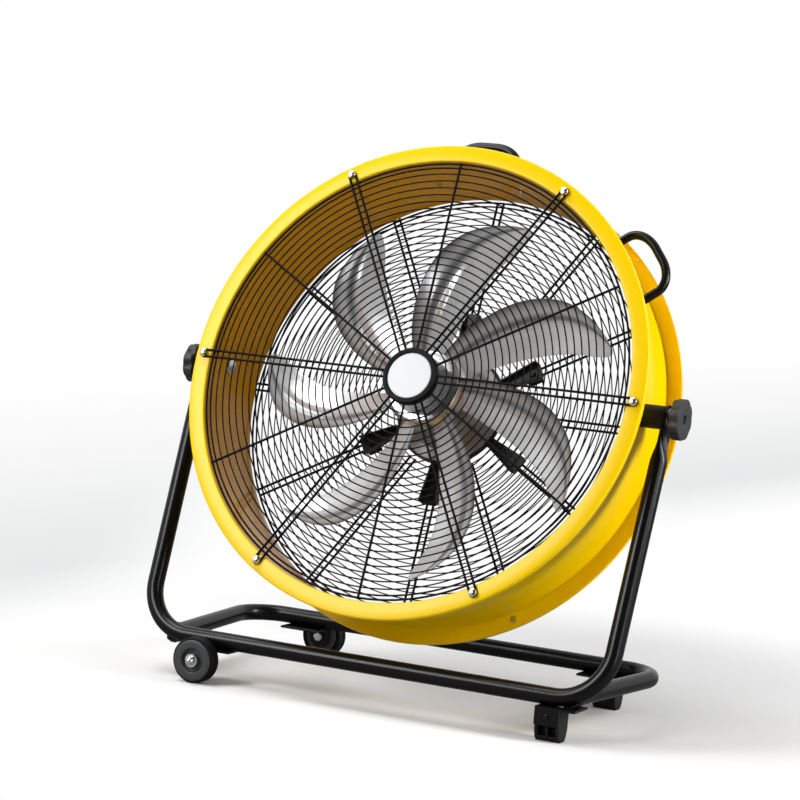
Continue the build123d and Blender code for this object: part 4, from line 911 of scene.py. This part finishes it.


# The floor takes the object's shadow, on a tone that the camera sees darken from left to right: painted
# shadow that deepens the real shadow on the object's right. Other rays meet a darker grey, so that little
# light comes back up.
tree = floor_material.node_tree
lit_floor, output = tree.nodes["Principled BSDF"], tree.nodes["Material Output"]
set_inputs(lit_floor, {"Roughness": 0.6, "Specular IOR Level": 0.2})
place, seen, beside, painted_floor_shadow, floor_tone = add_nodes(
    tree, "TexCoord", "LightPath", "VectorMath", "MapRange", "Mix")
beside.operation, floor_tone.data_type = "DOT_PRODUCT", "RGBA"
set_inputs(beside, {1: (0.9, 0.43, 0)})
# The painted shadow: the floor's tone falls from 0.97 to 0.8 towards the object's right.
set_range(painted_floor_shadow, (-0.5, 0.25), (0.97, 0.8), smooth=True)
set_inputs(floor_tone, {"A": opaque(0.3)})
connect(tree, (place, "Object", beside, 0), (beside, "Value", painted_floor_shadow, "Value"),
        (painted_floor_shadow, "Result", floor_tone, "B"), (seen, "Is Camera Ray", floor_tone, "Factor"),
        (floor_tone, "Result", lit_floor, "Base Color"))

# Away from the object the camera sees a plain backdrop instead, white near by and far off, with a soft band
# of painted grey shade between them that shows only beside the object.
spread, away, reach, fading, backdrop, mixed, behind_by, painted_shade_band = add_nodes(
    tree, "Mapping", "VectorMath", "MapRange", "Math", "Emission", "MixShader", "VectorMath", "ValToRGB")
besides, sides, side_band = add_nodes(tree, "Math", "MapRange", "Mix")
set_inputs(spread, {"Location": (-0.1, -0.05, 0), "Scale": (1, 1, 0)})
away.operation, behind_by.operation, fading.operation = "LENGTH", "DOT_PRODUCT", "MULTIPLY"
besides.operation, side_band.data_type = "ABSOLUTE", "RGBA"
set_range(reach, (0.5, 0.95), smooth=True)
set_range(sides, (0.32, 0.62), smooth=True)
set_inputs(behind_by, {1: (-0.25, 0.0225, 0)})
set_ramp(painted_shade_band, (0.15, 1), (0.245, (0.8, 0.82, 0.82)), (0.5, 0.93), (0.8, 1))
set_inputs(side_band, {"A": opaque(1)})
connect(tree, (place, "Object", spread, "Vector"), (spread, "Vector", away, 0),
        (away, "Value", reach, "Value"), (place, "Object", behind_by, 0),
        (behind_by, "Value", painted_shade_band, "Fac"), (beside, "Value", besides, 0),
        (besides, 0, sides, "Value"), (sides, "Result", side_band, "Factor"), (painted_shade_band, "Color", side_band, "B"),
        (side_band, "Result", backdrop, "Color"), (reach, "Result", fading, 0),
        (seen, "Is Camera Ray", fading, 1), (fading, 0, mixed, 0), (lit_floor, 0, mixed, 1),
        (backdrop, 0, mixed, 2), (mixed, 0, output, "Surface"))

# The camera sees a white world. Its light is weak, and its reflections are of a pale room with one dark side.
DARK_SIDE = (0.25, -0.85, 0.45)
WORLD_LIGHT, WORLD_REFLECTION = 0.2, 0.9
world = bpy.data.worlds.new("studio_world")
bpy.context.scene.world = world
world.use_nodes = True
tree = world.node_tree
room, output = tree.nodes["Background"], tree.nodes["World Output"]
direction, facing, shade, seen, white, mixed, level = add_nodes(
    tree, "TexCoord", "VectorMath", "ValToRGB", "LightPath", "Background", "MixShader", "MapRange")
facing.operation = "DOT_PRODUCT"
set_inputs(facing, {1: DARK_SIDE})
set_ramp(shade, (0.42, (0.95, 0.96, 0.97)), (0.85, 0.04))
set_range(level, result=(WORLD_LIGHT, WORLD_REFLECTION))
set_inputs(white, {"Color": opaque(1)})
connect(tree, (direction, "Generated", facing, 0), (facing, "Value", shade, "Fac"),
        (shade, "Color", room, "Color"), (seen, "Is Glossy Ray", level, "Value"),
        (level, "Result", room, "Strength"), (seen, "Is Camera Ray", mixed, 0), (room, 0, mixed, 1),
        (white, 0, mixed, 2), (mixed, 0, output, "Surface"))


def lamp(name, location, aim, width, height, power, roll=0.0, hidden=""):
    """A rectangular soft lamp that points from its place at its aim, turned about that line by the roll in
    degrees. It can be hidden from glossy or from diffuse rays."""
    data = bpy.data.lights.new(name, "AREA")
    data.shape, data.size, data.size_y, data.energy = "RECTANGLE", width, height, power
    light = bpy.data.objects.new(name, data)
    bpy.context.scene.collection.objects.link(light)
    backward = Vector(np.array(location, float) - np.array(aim, float))
    light.location = location
    light.rotation_mode = "QUATERNION"
    light.rotation_quaternion = (Matrix.Rotation(radians(roll), 3, backward.normalized())
                                 @ backward.to_track_quat("Z", "Y").to_matrix()).to_quaternion()
    light.visible_glossy, light.visible_diffuse = hidden != "glossy", hidden != "diffuse"


lamp("overhead_lamp", (-1.0, -0.4, 2.7), (0.1, 0, 0), 1.3, 1.3, 42)
lamp("left_softbox", (-1.24, -1.9, 1.53), (0, 0, 0.42), 1.15, 0.8, 35, roll=-35)
lamp("sheen_box", (-1.26, -1.94, 1.56), (0, 0, 0.42), 1.15, 0.8, 14, roll=-35, hidden="diffuse")
lamp("side_strip", (2.05, 0.2, 1.1), (0, 0, 0.5), 0.4, 0.8, 42)
lamp("front_fill", (0.9, -2.6, 0.8), (0, 0, 0.4), 1.2, 1.2, 18, hidden="glossy")
lamp("edge_strip", (2.2, -1.0, 1.0), (0, 0, 0.4), 0.25, 1.8, 16, hidden="diffuse")

CAMERA_PLACE = (1.5774, -3.2991, 0.6986)
CAMERA_YAW, CAMERA_PITCH, CAMERA_ROLL = radians(26.2), radians(4.7), radians(4.52)
SENSOR, FRAME_PIXELS, FOCAL_PIXELS = 36, 800, 2725
camera_data = bpy.data.cameras.new("camera")
camera_data.sensor_width = SENSOR
camera_data.lens = SENSOR * FOCAL_PIXELS / FRAME_PIXELS
camera = bpy.data.objects.new("camera", camera_data)
bpy.context.scene.collection.objects.link(camera)
bpy.context.scene.camera = camera
camera_back = np.array([np.sin(CAMERA_YAW) * np.cos(CAMERA_PITCH),
                        -np.cos(CAMERA_YAW) * np.cos(CAMERA_PITCH), np.sin(CAMERA_PITCH)])
level_right = np.array([np.cos(CAMERA_YAW), np.sin(CAMERA_YAW), 0])
level_up = np.cross(camera_back, level_right)
camera_matrix = np.eye(4)
camera_matrix[:3, 0] = np.cos(CAMERA_ROLL) * level_right + np.sin(CAMERA_ROLL) * level_up
camera_matrix[:3, 1] = -np.sin(CAMERA_ROLL) * level_right + np.cos(CAMERA_ROLL) * level_up
camera_matrix[:3, 2] = camera_back
camera_matrix[:3, 3] = CAMERA_PLACE
camera.matrix_world = Matrix(camera_matrix.tolist())

bpy.context.scene.view_settings.view_transform = "Standard"
